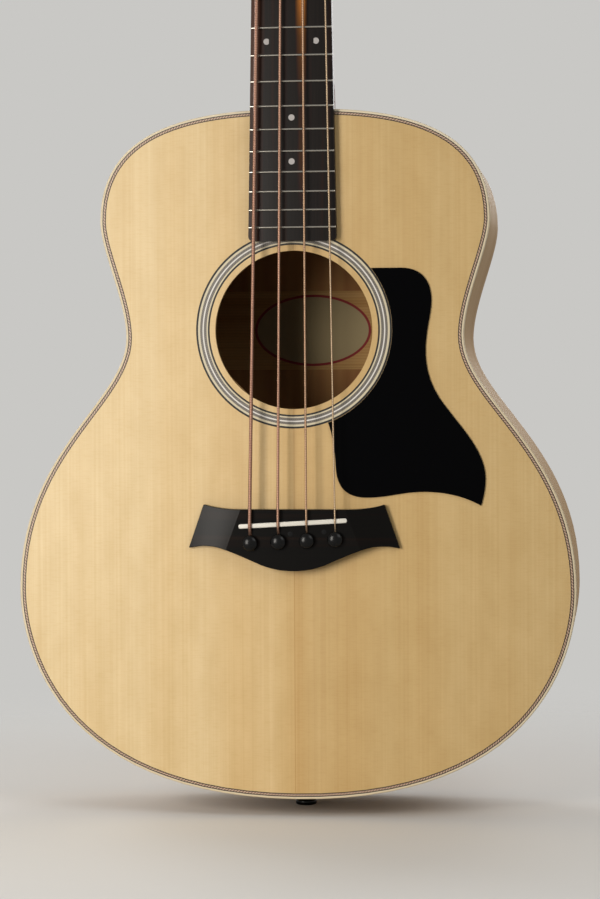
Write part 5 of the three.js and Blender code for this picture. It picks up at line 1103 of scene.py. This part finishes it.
def buildNut():
    mesh = bmesh.new()
    half, tall = board["widthAtNut"] / 2, board["height"] + 2.2
    floor = board["height"] + 1.1
    outline = [(-half, 0.0)]
    crown = lambda x: tall - crownDrop(x)
    outline += [(-half, crown(half))]
    for index, string in enumerate(strings):
        x = stringRise["nutPlaces"][index]
        reach = string["diameter"] / 2 + 0.15
        seat = board["height"] + stringRise["overBoard"] - crownDrop(x) + string["diameter"] / 2
        outline.append((x - reach, crown(x)))
        outline += [(x - reach * cos(pi * i / 8), seat - reach * sin(pi * i / 8)) for i in range(9)]
        outline.append((x + reach, crown(x)))
    outline += [(half, crown(half)), (half, 0.0)]
    face = mesh.faces.new([mesh.verts.new((x, frontY - height, nutZ + 0.02)) for x, height in outline])
    grown = bmesh.ops.extrude_face_region(mesh, geom=[face])["geom"]
    moved = [item for item in grown if isinstance(item, bmesh.types.BMVert)]
    bmesh.ops.translate(mesh, vec=(0, 0, 4.96), verts=moved)
    ends = [edge for edge in mesh.edges if edge.is_manifold and edge.calc_face_angle(0) > radians(80)
            and all(abs(point.co.x) > half - 0.1 for point in edge.verts)]
    bevelEdges(mesh, ends, 0.5, 3)
    finishPiece(mesh, "polishedNut", [whiteNut], replaced=["nut"], sharpAbove=40)


buildPaintedLightSheet()
buildLabel()
buildPickguard()
buildBridge()
buildSaddle()
buildPins()
buildBoard()
buildFrets()
buildDots()
buildNut()
print("the front's fittings are built")


# Headstock's own frame: its x, y and z start at the nut, on the face plate's front

headstock = {
    "tilt": radians(15), "plate": 1.6, "thickness": 15.5, "length": 142.0, "coreFront": 1.9, "shoulderHalf": 31.5,
    "shoulderHeight": 26.0, "topHalf": 36.0, "topCornerHeight": 131.0,
}
headPlace = Matrix.Translation((0, frontY - 1.5, nutZ + 5 + 0.3 + headstock["plate"] * sin(headstock["tilt"]))) @ \
    Matrix.Rotation(-headstock["tilt"], 4, "X")

tuner = {
    "rowHeights": (42.0, 98.0), "rowHalfSpans": (20.0, 21.5), "waist": 4.1, "postGap": 0.3, "flange": 1.8,
    "turnGap": 0.6, "turns": 2.5, "climb": 0.5, "gap": 0.3, "postRadius": 4.5, "postTop": 15.5, "postTopRadius": 3.5,
    "bushingRadius": 6.2, "flangeRadius": 8.0, "bushingLength": 9.0, "plateThickness": 1.2, "teeth": 16, "pitch": 2.8,
    "wormPitchRadius": 4.0, "addendum": 0.85, "dedendum": 1.2, "threadTip": 0.55, "threadRoot": 1.45,
    "threadTurns": 3, "wormLift": 0.5, "wheelThickness": 4.5, "hubRadius": 3.2, "collarRadius": 5.4, "capRadius": 4.4,
    "capTop": 3.1, "capThickness": 1.5, "shaftRadius": 2.4, "ear": 2.0, "shaftPastEdge": 5.0,
    "button": (17.0, 7.5, 21.0), "buttonRound": 0.8, "buttonCollar": 3.5,
}
tuner["distance"] = tuner["teeth"] * tuner["pitch"] / (2 * pi) + tuner["wormPitchRadius"]
tuner["plateBack"] = headstock["thickness"] + tuner["gap"] + tuner["plateThickness"]
tuner["wormLevel"] = tuner["plateBack"] + tuner["wormPitchRadius"] + tuner["addendum"] + tuner["wormLift"]
tuner["earInner"] = tuner["threadTurns"] * tuner["pitch"] / 2 + tuner["threadRoot"] / 2 + tuner["gap"]


def windingRadius(string):
    return tuner["waist"] + tuner["postGap"] + string["diameter"] / 2


def windingLevel(string):
    return -(tuner["flange"] + 0.6 + tuner["turnGap"] + string["diameter"] / 2)


def postPlace(string):
    return Vector((string["side"] * tuner["rowHalfSpans"][string["row"]], tuner["rowHeights"][string["row"]]))


def nutExit(string, index):
    x = stringRise["nutPlaces"][index]
    rise = board["height"] + stringRise["overBoard"] - crownDrop(x) + string["diameter"] / 2
    return Vector((x, frontY - rise + 0.3, nutZ + 5))


def tangentAngle(string, index):
    exitPoint = headPlace.inverted() @ nutExit(string, index)
    toNut = Vector((exitPoint.x, exitPoint.z)) - postPlace(string)
    lean = acos(windingRadius(string) / toNut.length)
    return atan2(toNut.y, toNut.x) - string["side"] * lean


def onWinding(string, angle, level):
    radius, post = windingRadius(string), postPlace(string)
    return Vector((post.x + radius * cos(angle), level, post.y + radius * sin(angle)))


# Strings: out of the pin's hole, over the saddle and the nut, to the post; the last turns lie on the post

def buildStrings():
    for index, string in enumerate(strings):
        radius = string["diameter"] / 2
        x, pinZ = pinPlace(index)
        crestZ = saddleZ + x * tan(saddle["slant"])
        overSaddle = saddle["crest"] - crownDrop(x) + radius
        xNut = stringRise["nutPlaces"][index]
        overNut = board["height"] + stringRise["overBoard"] - crownDrop(xNut) + radius
        start = tangentAngle(string, index)
        level = windingLevel(string)
        touch = headPlace @ onWinding(string, start, level)
        dropZ = pinZ + 3.6
        route = roundedRoute([
            (x, frontY + 4, dropZ), (x, frontY - 7.6, dropZ + radius * 0.3),
            (x, frontY - overSaddle + 0.3, crestZ - 1.4), (x, frontY - overSaddle, crestZ + 1.2),
            (xNut, frontY - overNut, nutZ + 0.3), nutExit(string, index), touch,
        ], 1.6)
        mesh = bmesh.new()
        sweepCord(mesh, route, radius, 16)
        bmesh.ops.create_uvsphere(mesh, u_segments=16, v_segments=10, radius=2.2,
                                  matrix=Matrix.Translation((x, frontY + 4.5, dropZ)))
        finishPiece(mesh, "woundString_" + string["name"], [stringBronzes[string["name"]]], replaced=["string_" + string["name"]],
                    sharpAbove=60)

        turns, stepsPerTurn = tuner["turns"], 40
        pitch = string["diameter"] + tuner["turnGap"]
        coil = []
        for i in range(int(turns * stepsPerTurn) + 1):
            turn = i / stepsPerTurn
            whole = int(turn)
            climb = max(0.0, turn - whole - (1 - tuner["climb"])) / tuner["climb"]
            rise = whole + climb * climb * (3 - 2 * climb)
            coil.append(onWinding(string, start - string["side"] * 2 * pi * turn, level - pitch * rise))
        post = postPlace(string)
        last = coil[-1]
        inward = (Vector((post.x, last.y, post.y)) - last).normalized()
        coil[-1] = last + inward * 0.4
        coil += [last + inward * 1.4, last + inward * (windingRadius(string) - 1)]
        mesh = bmesh.new()
        sweepCord(mesh, [headPlace @ point for point in coil], radius, 14)
        finishPiece(mesh, "stringTurns_" + string["name"], [stringBronzes[string["name"]]], rides="post_" + string["name"],
                    replaced=["string_winding_" + string["name"]], sharpAbove=60)


def buildEndPin():
    mesh = bmesh.new()
    profile = [(0, 0), (5.4, 0), (6.2, 0.1), (6.8, 0.6), (7, 1.3), (7, 2.7), (6.7, 3.3), (6.1, 3.7), (4.6, 5.2),
               (4.0, 6.6), (3.8, 8.0), (4.2, 9.3), (5.2, 10.0), (5.3, 11.4), (5.1, 11.95), (3, 11.98), (3, 28),
               (0, 28)]
    corners = [mesh.verts.new((radius, 0, height)) for radius, height in profile]
    edges = [mesh.edges.new(pair) for pair in zip(corners, corners[1:])]
    bmesh.ops.spin(mesh, geom=corners + edges, cent=(0, 0, 0), axis=(0, 0, 1), angle=2 * pi, steps=48,
                   use_merge=True)
    bmesh.ops.remove_doubles(mesh, verts=mesh.verts, dist=0.0005)
    finishPiece(mesh, "strapPin", [mouldedBlack], replaced=["end_pin"], sharpAbove=50)


# Neck: a shaft with a round back that flares and squares off into the headstock, and a curved heel

neck = {
    "depthAtNut": 15.0, "depthAtBody": 17.0, "backRound": 0.8, "squareRound": 0.12, "squareFrom": 26.0,
    "heelDepth": 92.0, "heelTipHalf": 14.0, "heelTipReach": 16.0, "heelRootReach": 62.0, "heelStart": 0.333,
    "heelNarrowing": 0.8, "heelDrawIn": 3, "sunk": 3.0, "steps": 40, "pocketHalf": 6.0, "pocketDepth": 11.8,
}


# Half widths and heights up the headstock's edge, in its own frame
def headEdge():
    base, size = board["widthAtNut"] / 2, headstock
    start, shoulder = Vector((base, 0)), Vector((size["shoulderHalf"], size["shoulderHeight"]))
    top = Vector((size["topHalf"], size["topCornerHeight"]))
    crown = Vector((size["topHalf"] * 0.72, size["length"] * 0.985))

    def swept(a, b, c, count):
        return [Vector(p[:2]) for p in interpolate_bezier(a, a.lerp(b, 2 / 3), c.lerp(b, 2 / 3), c, count)[1:]]

    edge = [Vector(p[:2]) for p in interpolate_bezier(start, Vector((base, size["shoulderHeight"] * 0.45)),
                                                      Vector((size["shoulderHalf"], size["shoulderHeight"] * 0.5)),
                                                      shoulder, 14)]
    edge += [shoulder.lerp(top, i / 5) for i in range(1, 6)]
    edge += swept(top, Vector((size["topHalf"] * 0.98, size["length"] * 0.975)), crown, 8)
    edge += swept(crown, Vector((0, size["length"] * 1.015)), Vector((-crown.x, crown.y)), 17)[:7]
    return edge


# A ring round the neck: flat in front, and behind anything from round (0) to square (1)
def neckRing(front, back, half, square):
    front, back = Vector(front), Vector(back)
    sideways = 1 + (neck["squareRound"] - 1) * square
    rearwards = neck["backRound"] + (neck["squareRound"] - neck["backRound"]) * square
    ring = []
    for i in range(neck["steps"] + 1):
        angle = pi * i / neck["steps"]
        across = half * abs(cos(angle)) ** sideways * (1 if cos(angle) > 0 else -1)
        spot = front + (back - front) * sin(angle) ** rearwards if 0 < i < neck["steps"] else front
        ring.append((across, spot.x, spot.y))
    return ring


# The bushings' four holes and the pocket for the truss rod's nut
def headHoles():
    cutter, radius = bmesh.new(), tuner["bushingRadius"] + 0.3
    addBlock(cutter, (-neck["pocketHalf"], frontY - 6, nutZ + 8), (neck["pocketHalf"], frontY + neck["pocketDepth"], nutZ + 29))
    for string in strings:
        post = postPlace(string)
        hole = bmesh.ops.create_cone(cutter, cap_ends=True, segments=32, radius1=radius, radius2=radius, depth=30)["verts"]
        bmesh.ops.transform(cutter, verts=hole, matrix=headPlace @ Matrix.Translation((post.x, 8, post.y))
                            @ Matrix.Rotation(pi / 2, 4, "X"))
    return cutter


def buildHeadplate():
    mesh = bmesh.new()
    edge = [(half, z) for half, z in headEdge()]
    raisePlate(mesh, edge + [(-half, z) for half, z in reversed(edge) if half > 0.01], 0, headstock["plate"])
    front = [item for item in edgesAtLevel(mesh, 0) if max(c.co.z for c in item.verts) > 0.01]
    bevelEdges(mesh, front, 0.45, 3)
    bmesh.ops.transform(mesh, matrix=headPlace, verts=mesh.verts)
    piece = finishPiece(mesh, "lacqueredHeadplate", [headplateLacquer], replaced=["headplate"])
    carve(piece, headHoles(), evenFlats=True)


def buildNeck():
    foot, size = bodyTopZ - neck["sunk"], headstock
    rings = []
    for i in range(9):
        z = foot + (nutZ - 14 - foot) * i / 8
        depth = neck["depthAtBody"] + (neck["depthAtNut"] - neck["depthAtBody"]) * (z - foot) / (nutZ + 5 - foot)
        rings.append(neckRing((frontY, z), (frontY + depth, z), boardHalfAt(z), 0))
    rings.append(neckRing((frontY, nutZ - 6), (frontY + 15.0, nutZ - 10), boardHalfAt(nutZ - 6), 0.03))
    rings.append(neckRing((frontY, nutZ), (frontY + 14.9, nutZ - 5.5), boardHalfAt(nutZ), 0.1))
    rings.append(neckRing((frontY + 0.05, nutZ + 4.8), (frontY + 14.4, nutZ - 1), boardHalfAt(nutZ), 0.2))
    for half, z in headEdge():
        z = max(z, 0.3)
        ends = [headPlace @ Vector((0, level, z)) for level in (size["coreFront"], size["thickness"])]
        share = min(1.0, z / neck["squareFrom"])
        rings.append(neckRing(*[(end.y, end.z) for end in ends], half, 0.25 + 0.75 * share * share * (3 - 2 * share)))
    mesh = bmesh.new()
    skin = growRings(mesh, rings)
    for loop in (skin["first"], skin["last"]):
        bmesh.ops.contextual_create(mesh, geom=loop)
    piece = finishPiece(mesh, "mahoganyNeck", [neckWood], replaced=["neck"])
    carve(piece, headHoles(), evenFlats=True)

    mesh = bmesh.new()
    start, rootHalf, levels = neck["depthAtBody"] * neck["heelStart"], boardHalfAt(bodyTopZ), 24
    rings = []
    for i in range(levels + 1):
        share = i / levels
        half = rootHalf + (neck["heelTipHalf"] - rootHalf) * share ** neck["heelNarrowing"]
        reach = neck["heelTipReach"] + (neck["heelRootReach"] - neck["heelTipReach"]) * (1 - share) ** neck["heelDrawIn"]
        y = frontY + start + (neck["heelDepth"] - start) * share
        turns = [pi * j / neck["steps"] for j in range(neck["steps"] + 1)]
        rings.append([(half * cos(turn), y, foot + (reach + neck["sunk"]) * max(0, sin(turn)) ** neck["backRound"])
                      for turn in turns])
    skin = growRings(mesh, rings)
    for loop in (skin["first"], skin["last"]):
        bmesh.ops.contextual_create(mesh, geom=loop)
    tip = [edge for edge in mesh.edges if all(c.co.y > frontY + neck["heelDepth"] - 0.01 for c in edge.verts)
           and edge.is_manifold and edge.calc_face_angle(0) > radians(40)]
    bevelEdges(mesh, tip, 1.6, 4)
    finishPiece(mesh, "mahoganyHeel", [neckWood], evenFlats=True)


# Tuning machines. Each stands at its post; its own y runs to the back, and the worm lies below the wheel.

def unitPlace(string):
    post = postPlace(string)
    return headPlace @ Matrix.Translation((post.x, 0, post.y))


def buildBushing(string):
    inner, outer, gap = tuner["postRadius"] + tuner["gap"], tuner["bushingRadius"], tuner["gap"]
    rim, crown = tuner["flangeRadius"], gap + tuner["flange"]
    profile = [(inner, -tuner["bushingLength"]), (outer, -tuner["bushingLength"]), (outer, gap), (rim - 0.2, gap),
               (rim, gap + 0.2), (rim, gap + 0.7)]
    profile += [(rim - 1.3 + 1.3 * cos(i * pi / 12), gap + 0.7 + (crown - gap - 0.7) * sin(i * pi / 12))
                for i in range(1, 7)]
    profile += [(inner + 0.3, crown), (inner, crown - 0.3), (inner, -tuner["bushingLength"])]
    mesh = bmesh.new()
    turnProfile(mesh, profile, (0, 0, 0), 40)
    bmesh.ops.transform(mesh, matrix=unitPlace(string), verts=mesh.verts)
    finishPiece(mesh, "chromeBushing_" + string["name"], [chromePlate], replaced=["tuner_bushing_" + string["name"]])


def buildPost(string, index):
    gap, radius, waist, top = tuner["gap"], tuner["postRadius"], tuner["waist"], tuner["postTop"]
    wheelFront, wheelBack = [tuner["wormLevel"] + side * tuner["wheelThickness"] / 2 for side in (-1, 1)]
    crown = -wheelBack - gap - tuner["capThickness"]
    profile = [(0, crown), (tuner["capTop"], crown), (tuner["capRadius"], crown + 0.8), (tuner["capRadius"], -wheelBack - gap),
               (tuner["hubRadius"], -wheelBack - gap), (tuner["hubRadius"], -wheelFront + gap),
               (tuner["collarRadius"], -wheelFront + gap), (tuner["collarRadius"], -tuner["plateBack"] - gap),
               (radius, -tuner["plateBack"] - gap), (radius, gap + tuner["flange"]), (waist, 2 * gap + tuner["flange"])]
    profile += [(tuner["postTopRadius"] + (waist - tuner["postTopRadius"]) * cos(i * pi / 10), top - 1 + sin(i * pi / 10))
                for i in range(6)]
    profile += [(tuner["postTopRadius"] - 0.6, top), (tuner["postTopRadius"] - 1.4, top - 0.5), (0, top - 0.5)]
    mesh = bmesh.new()
    turnProfile(mesh, profile, (0, 0, 0), 40)
    bmesh.ops.transform(mesh, matrix=unitPlace(string), verts=mesh.verts)
    name = string["name"]
    piece = finishPiece(mesh, "chromePost_" + name, [chromePlate], rides="post_" + name, replaced=["tuner_post_" + name])
    cutter = bmesh.new()
    half = string["diameter"] / 2 + 2 * gap
    floor = windingLevel(string) - 2 * (string["diameter"] + tuner["turnGap"]) + half
    facing = tangentAngle(string, index) - string["side"] * 2 * pi * tuner["turns"]
    addBlock(cutter, (-2 * waist, -top - 3, -half), (2 * waist, floor, half),
             unitPlace(string) @ Matrix.Rotation(-facing, 4, "Y"))
    carve(piece, cutter)


def buildKey(string):
    side, gap, row = string["side"], tuner["gap"], string["row"]
    share = (tuner["rowHeights"][row] - headstock["shoulderHeight"]) / (headstock["topCornerHeight"] - headstock["shoulderHeight"])
    edge = headstock["shoulderHalf"] + (headstock["topHalf"] - headstock["shoulderHalf"]) * share
    far = edge - tuner["rowHalfSpans"][row] + tuner["shaftPastEdge"]
    core, shaft, collar = tuner["wormPitchRadius"] - tuner["dedendum"], tuner["shaftRadius"], tuner["buttonCollar"]
    near, ear = tuner["earInner"] - gap, tuner["earInner"] + tuner["ear"] + gap
    profile = [(0, -ear - 0.3), (shaft - 0.4, -ear - 0.3), (shaft, -ear + 0.1), (shaft, -near), (core, -near), (core, near),
               (shaft, near), (shaft, far - 2.4), (shaft + 0.5, far - 1.9), (collar - 0.3, far - 1.6), (collar, far - 1.2),
               (collar, far + 0.6), (collar - 0.4, far + 1.4), (0, far + 1.6)]
    mesh = bmesh.new()
    turnProfile(mesh, profile, (0, 0, 0), 32)
    bmesh.ops.rotate(mesh, cent=(0, 0, 0), matrix=Matrix.Rotation(side * pi / 2, 3, "Z"), verts=mesh.verts)
    sphere = bmesh.ops.create_uvsphere(mesh, u_segments=40, v_segments=24, radius=1)["verts"]
    for corner in sphere:  # a full oval, flatter than a ball
        full = [abs(value) ** tuner["buttonRound"] * (1 if value > 0 else -1) for value in corner.co]
        corner.co = [value * size / 2 for value, size in zip(full, tuner["button"])]
        corner.co.x += side * (far + tuner["button"][0] / 2)
    foot, crest, turnSteps = core - 0.6, tuner["wormPitchRadius"] + tuner["addendum"], 36
    rings = []
    for i in range(tuner["threadTurns"] * turnSteps + 1):
        turn = 2 * pi * (i / turnSteps - tuner["threadTurns"] / 2)
        x = tuner["pitch"] * turn / (2 * pi)
        section = [(-tuner["threadRoot"] / 2, foot), (-tuner["threadTip"] / 2, crest), (tuner["threadTip"] / 2, crest),
                   (tuner["threadRoot"] / 2, foot)]
        rings.append([(x + shift, radius * cos(turn + pi / 2), radius * sin(turn + pi / 2)) for shift, radius in section])
    skin = growRings(mesh, rings)
    for loop in (skin["first"], skin["last"]):
        bmesh.ops.contextual_create(mesh, geom=loop)
    bmesh.ops.transform(mesh, matrix=unitPlace(string) @ Matrix.Translation((0, tuner["wormLevel"], -tuner["distance"])),
                        verts=mesh.verts)
    name = string["name"]
    finishPiece(mesh, "chromeKey_" + name, [chromePlate], rides="key_" + name, replaced=["tuner_key_" + name], sharpAbove=40)


# Small domed screws with one slot, driven along the headstock's y
def buildScrews(name, spots, radius, material, towardsBack):
    mesh, cutter = bmesh.new(), bmesh.new()
    for x, y, z in spots:
        turn = headPlace @ Matrix.Translation((x, y, z)) @ Matrix.Rotation(0 if towardsBack else pi, 4, "Z")
        part = bmesh.new()
        dome = [(0, -1.0), (radius * 0.6, -1.0), (radius, 0.0), (radius, 0.15)]
        dome += [(radius * cos(i * pi / 12), 0.15 + radius * 0.38 * sin(i * pi / 12)) for i in range(1, 6)]
        dome.append((0, 0.15 + radius * 0.38))
        turnProfile(part, dome, (0, 0, 0), 24)
        bmesh.ops.transform(part, matrix=turn @ Matrix.Rotation(pi, 4, "Z"), verts=part.verts)
        data = bpy.data.meshes.new("screwPart")
        part.to_mesh(data)
        part.free()
        mesh.from_mesh(data)
        bpy.data.meshes.remove(data)
        lean = Matrix.Rotation(radians(20 + 31 * x), 4, "Y")
        addBlock(cutter, (-radius * 1.2, radius * 0.16, -radius * 0.16), (radius * 1.2, radius, radius * 0.16), turn @ lean)
    piece = finishPiece(mesh, name, [material])
    carve(piece, cutter)


buildStrings()
buildEndPin()
buildNeck()
buildHeadplate()
for index, string in enumerate(strings):
    buildBushing(string)
    buildPost(string, index)
    buildKey(string)
plateSpots = [(postPlace(string).x + side * 7.7, tuner["plateBack"], postPlace(string).y + 7.3)
              for string in strings for side in (-1, 1)]
buildScrews("plateScrews", plateSpots, 1.7, chromePlate, True)
buildScrews("coverScrews", [(-7.6, -2.1, 6.2), (7.6, -2.1, 6.2), (0, -2.1, 34.2)], 1.5, mouldedBlack, False)
dressCopy("truss_rod_cover", pickguardPlastic, 0.4)
dressCopy("truss_rod_nut", gearBrass, 0.3, rides="truss_nut")
for string in strings:
    name = string["name"]
    dressCopy("tuner_plate_" + name, chromePlate, 0.25)
    dressCopy("tuner_wheel_" + name, gearBrass, 0.12, rides="post_" + name)
print("the neck and the tuning machines are dressed")

inside = ["neck_block", "tail_block", "front_lining_bass", "back_lining_bass", "front_lining_treble",
          "back_lining_treble", "x_brace_bass", "x_brace_treble", "transverse_brace", "tone_bar", "bridge_plate"]
for name in inside + ["truss_rod"]:
    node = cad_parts[name]
    node.data.materials.clear()
    node.data.materials.append(rodSteel if name == "truss_rod" else innerWood)


# Stage: a plain pale floor that fades into the pale background, and soft light from the left

stage = {"radius": 2.0, "fadeFrom": 0.22, "fadeTo": 0.72, "floor": "#D9D7D3", "background": "#C9C8C5"}


def buildStage():
    mesh = bmesh.new()
    bmesh.ops.create_circle(mesh, cap_ends=True, radius=stage["radius"], segments=96)
    data = bpy.data.meshes.new("paleFloor")
    mesh.to_mesh(data)
    mesh.free()
    floor = bpy.data.objects.new("paleFloor", data)
    bpy.context.scene.collection.objects.link(floor)
    material, tree, shader = startMaterial("palePaper", stage["floor"], 0.9)
    place = addNode(tree, "ShaderNodeTexCoord", {}).outputs["Object"]
    away = addNode(tree, "ShaderNodeVectorMath", {0: place}, operation="LENGTH").outputs["Value"]
    fade = addNode(tree, "ShaderNodeMapRange", {"Value": away, "From Min": stage["fadeFrom"],
                                                "From Max": stage["fadeTo"]}, interpolation_type="SMOOTHSTEP")
    clear = addNode(tree, "ShaderNodeBsdfTransparent", {})
    blended = addNode(tree, "ShaderNodeMixShader", {0: fade.outputs[0], 1: shader.outputs[0], 2: clear.outputs[0]})
    tree.links.new(blended.outputs[0], tree.nodes["Material Output"].inputs["Surface"])
    data.materials.append(material)


def addSoftLight(name, place, target, size, watts, colour, spread=180):
    data = bpy.data.lights.new(name, "AREA")
    data.shape = "RECTANGLE"
    data.size, data.size_y = size
    data.energy = watts
    data.spread = radians(spread)
    data.color = linearColour(colour)[:3]
    lamp = bpy.data.objects.new(name, data)
    lamp.location = place
    lamp.rotation_euler = (Vector(target) - Vector(place)).to_track_quat("-Z", "Y").to_euler()
    lamp.visible_camera = False
    bpy.context.scene.collection.objects.link(lamp)


buildStage()
addSoftLight("keyLight", (-0.52, -0.93, 0.37), (0, 0, 0.32), (0.32, 0.55), 4.35, "#FFFAF2", 130)
addSoftLight("fillLight", (0.95, -0.9, 1.2), (0, 0, 0.4), (0.9, 0.9), 6.4, "#FFFFFF")
addSoftLight("rimLight", (0.6, 1.7, 1.2), (0, 0, 0.4), (1.0, 1.4), 12, "#FFFFFF")
addSoftLight("backLight", (-1.4, 1.2, 1.0), (0, 0, 0.4), (1.0, 1.4), 18, "#FFFFFF")
world = bpy.data.worlds.new("softWorld")
bpy.context.scene.world = world
world.use_nodes = True
dome = world.node_tree
heights = addNode(dome, "ShaderNodeSeparateXYZ", {0: addNode(dome, "ShaderNodeTexCoord", {}).outputs["Generated"]})
overhead = rampBetween(dome, heights.outputs["Z"], [(0.0, "#8A8A88"), (0.25, "#A8A8A8"), (1.0, "#F4F4F4")])
dome.links.new(overhead, dome.nodes["Background"].inputs["Color"])
dome.nodes["Background"].inputs["Strength"].default_value = 0.4
# what the camera, metal and plastic see round the object is the plain pale background
pale = addNode(dome, "ShaderNodeBackground", {"Color": linearColour(stage["background"]), "Strength": 1.0})
rays = addNode(dome, "ShaderNodeLightPath", {})
seen = rays.outputs["Is Camera Ray"]
for kind in ("Is Glossy Ray", "Is Transmission Ray"):
    seen = addNode(dome, "ShaderNodeMath", {0: seen, 1: rays.outputs[kind]}, operation="MAXIMUM").outputs[0]
shown = addNode(dome, "ShaderNodeMixShader", {0: seen, 1: dome.nodes["Background"].outputs[0], 2: pale.outputs[0]})
dome.links.new(shown.outputs[0], dome.nodes["World Output"].inputs["Surface"])
print("the stage is lit")
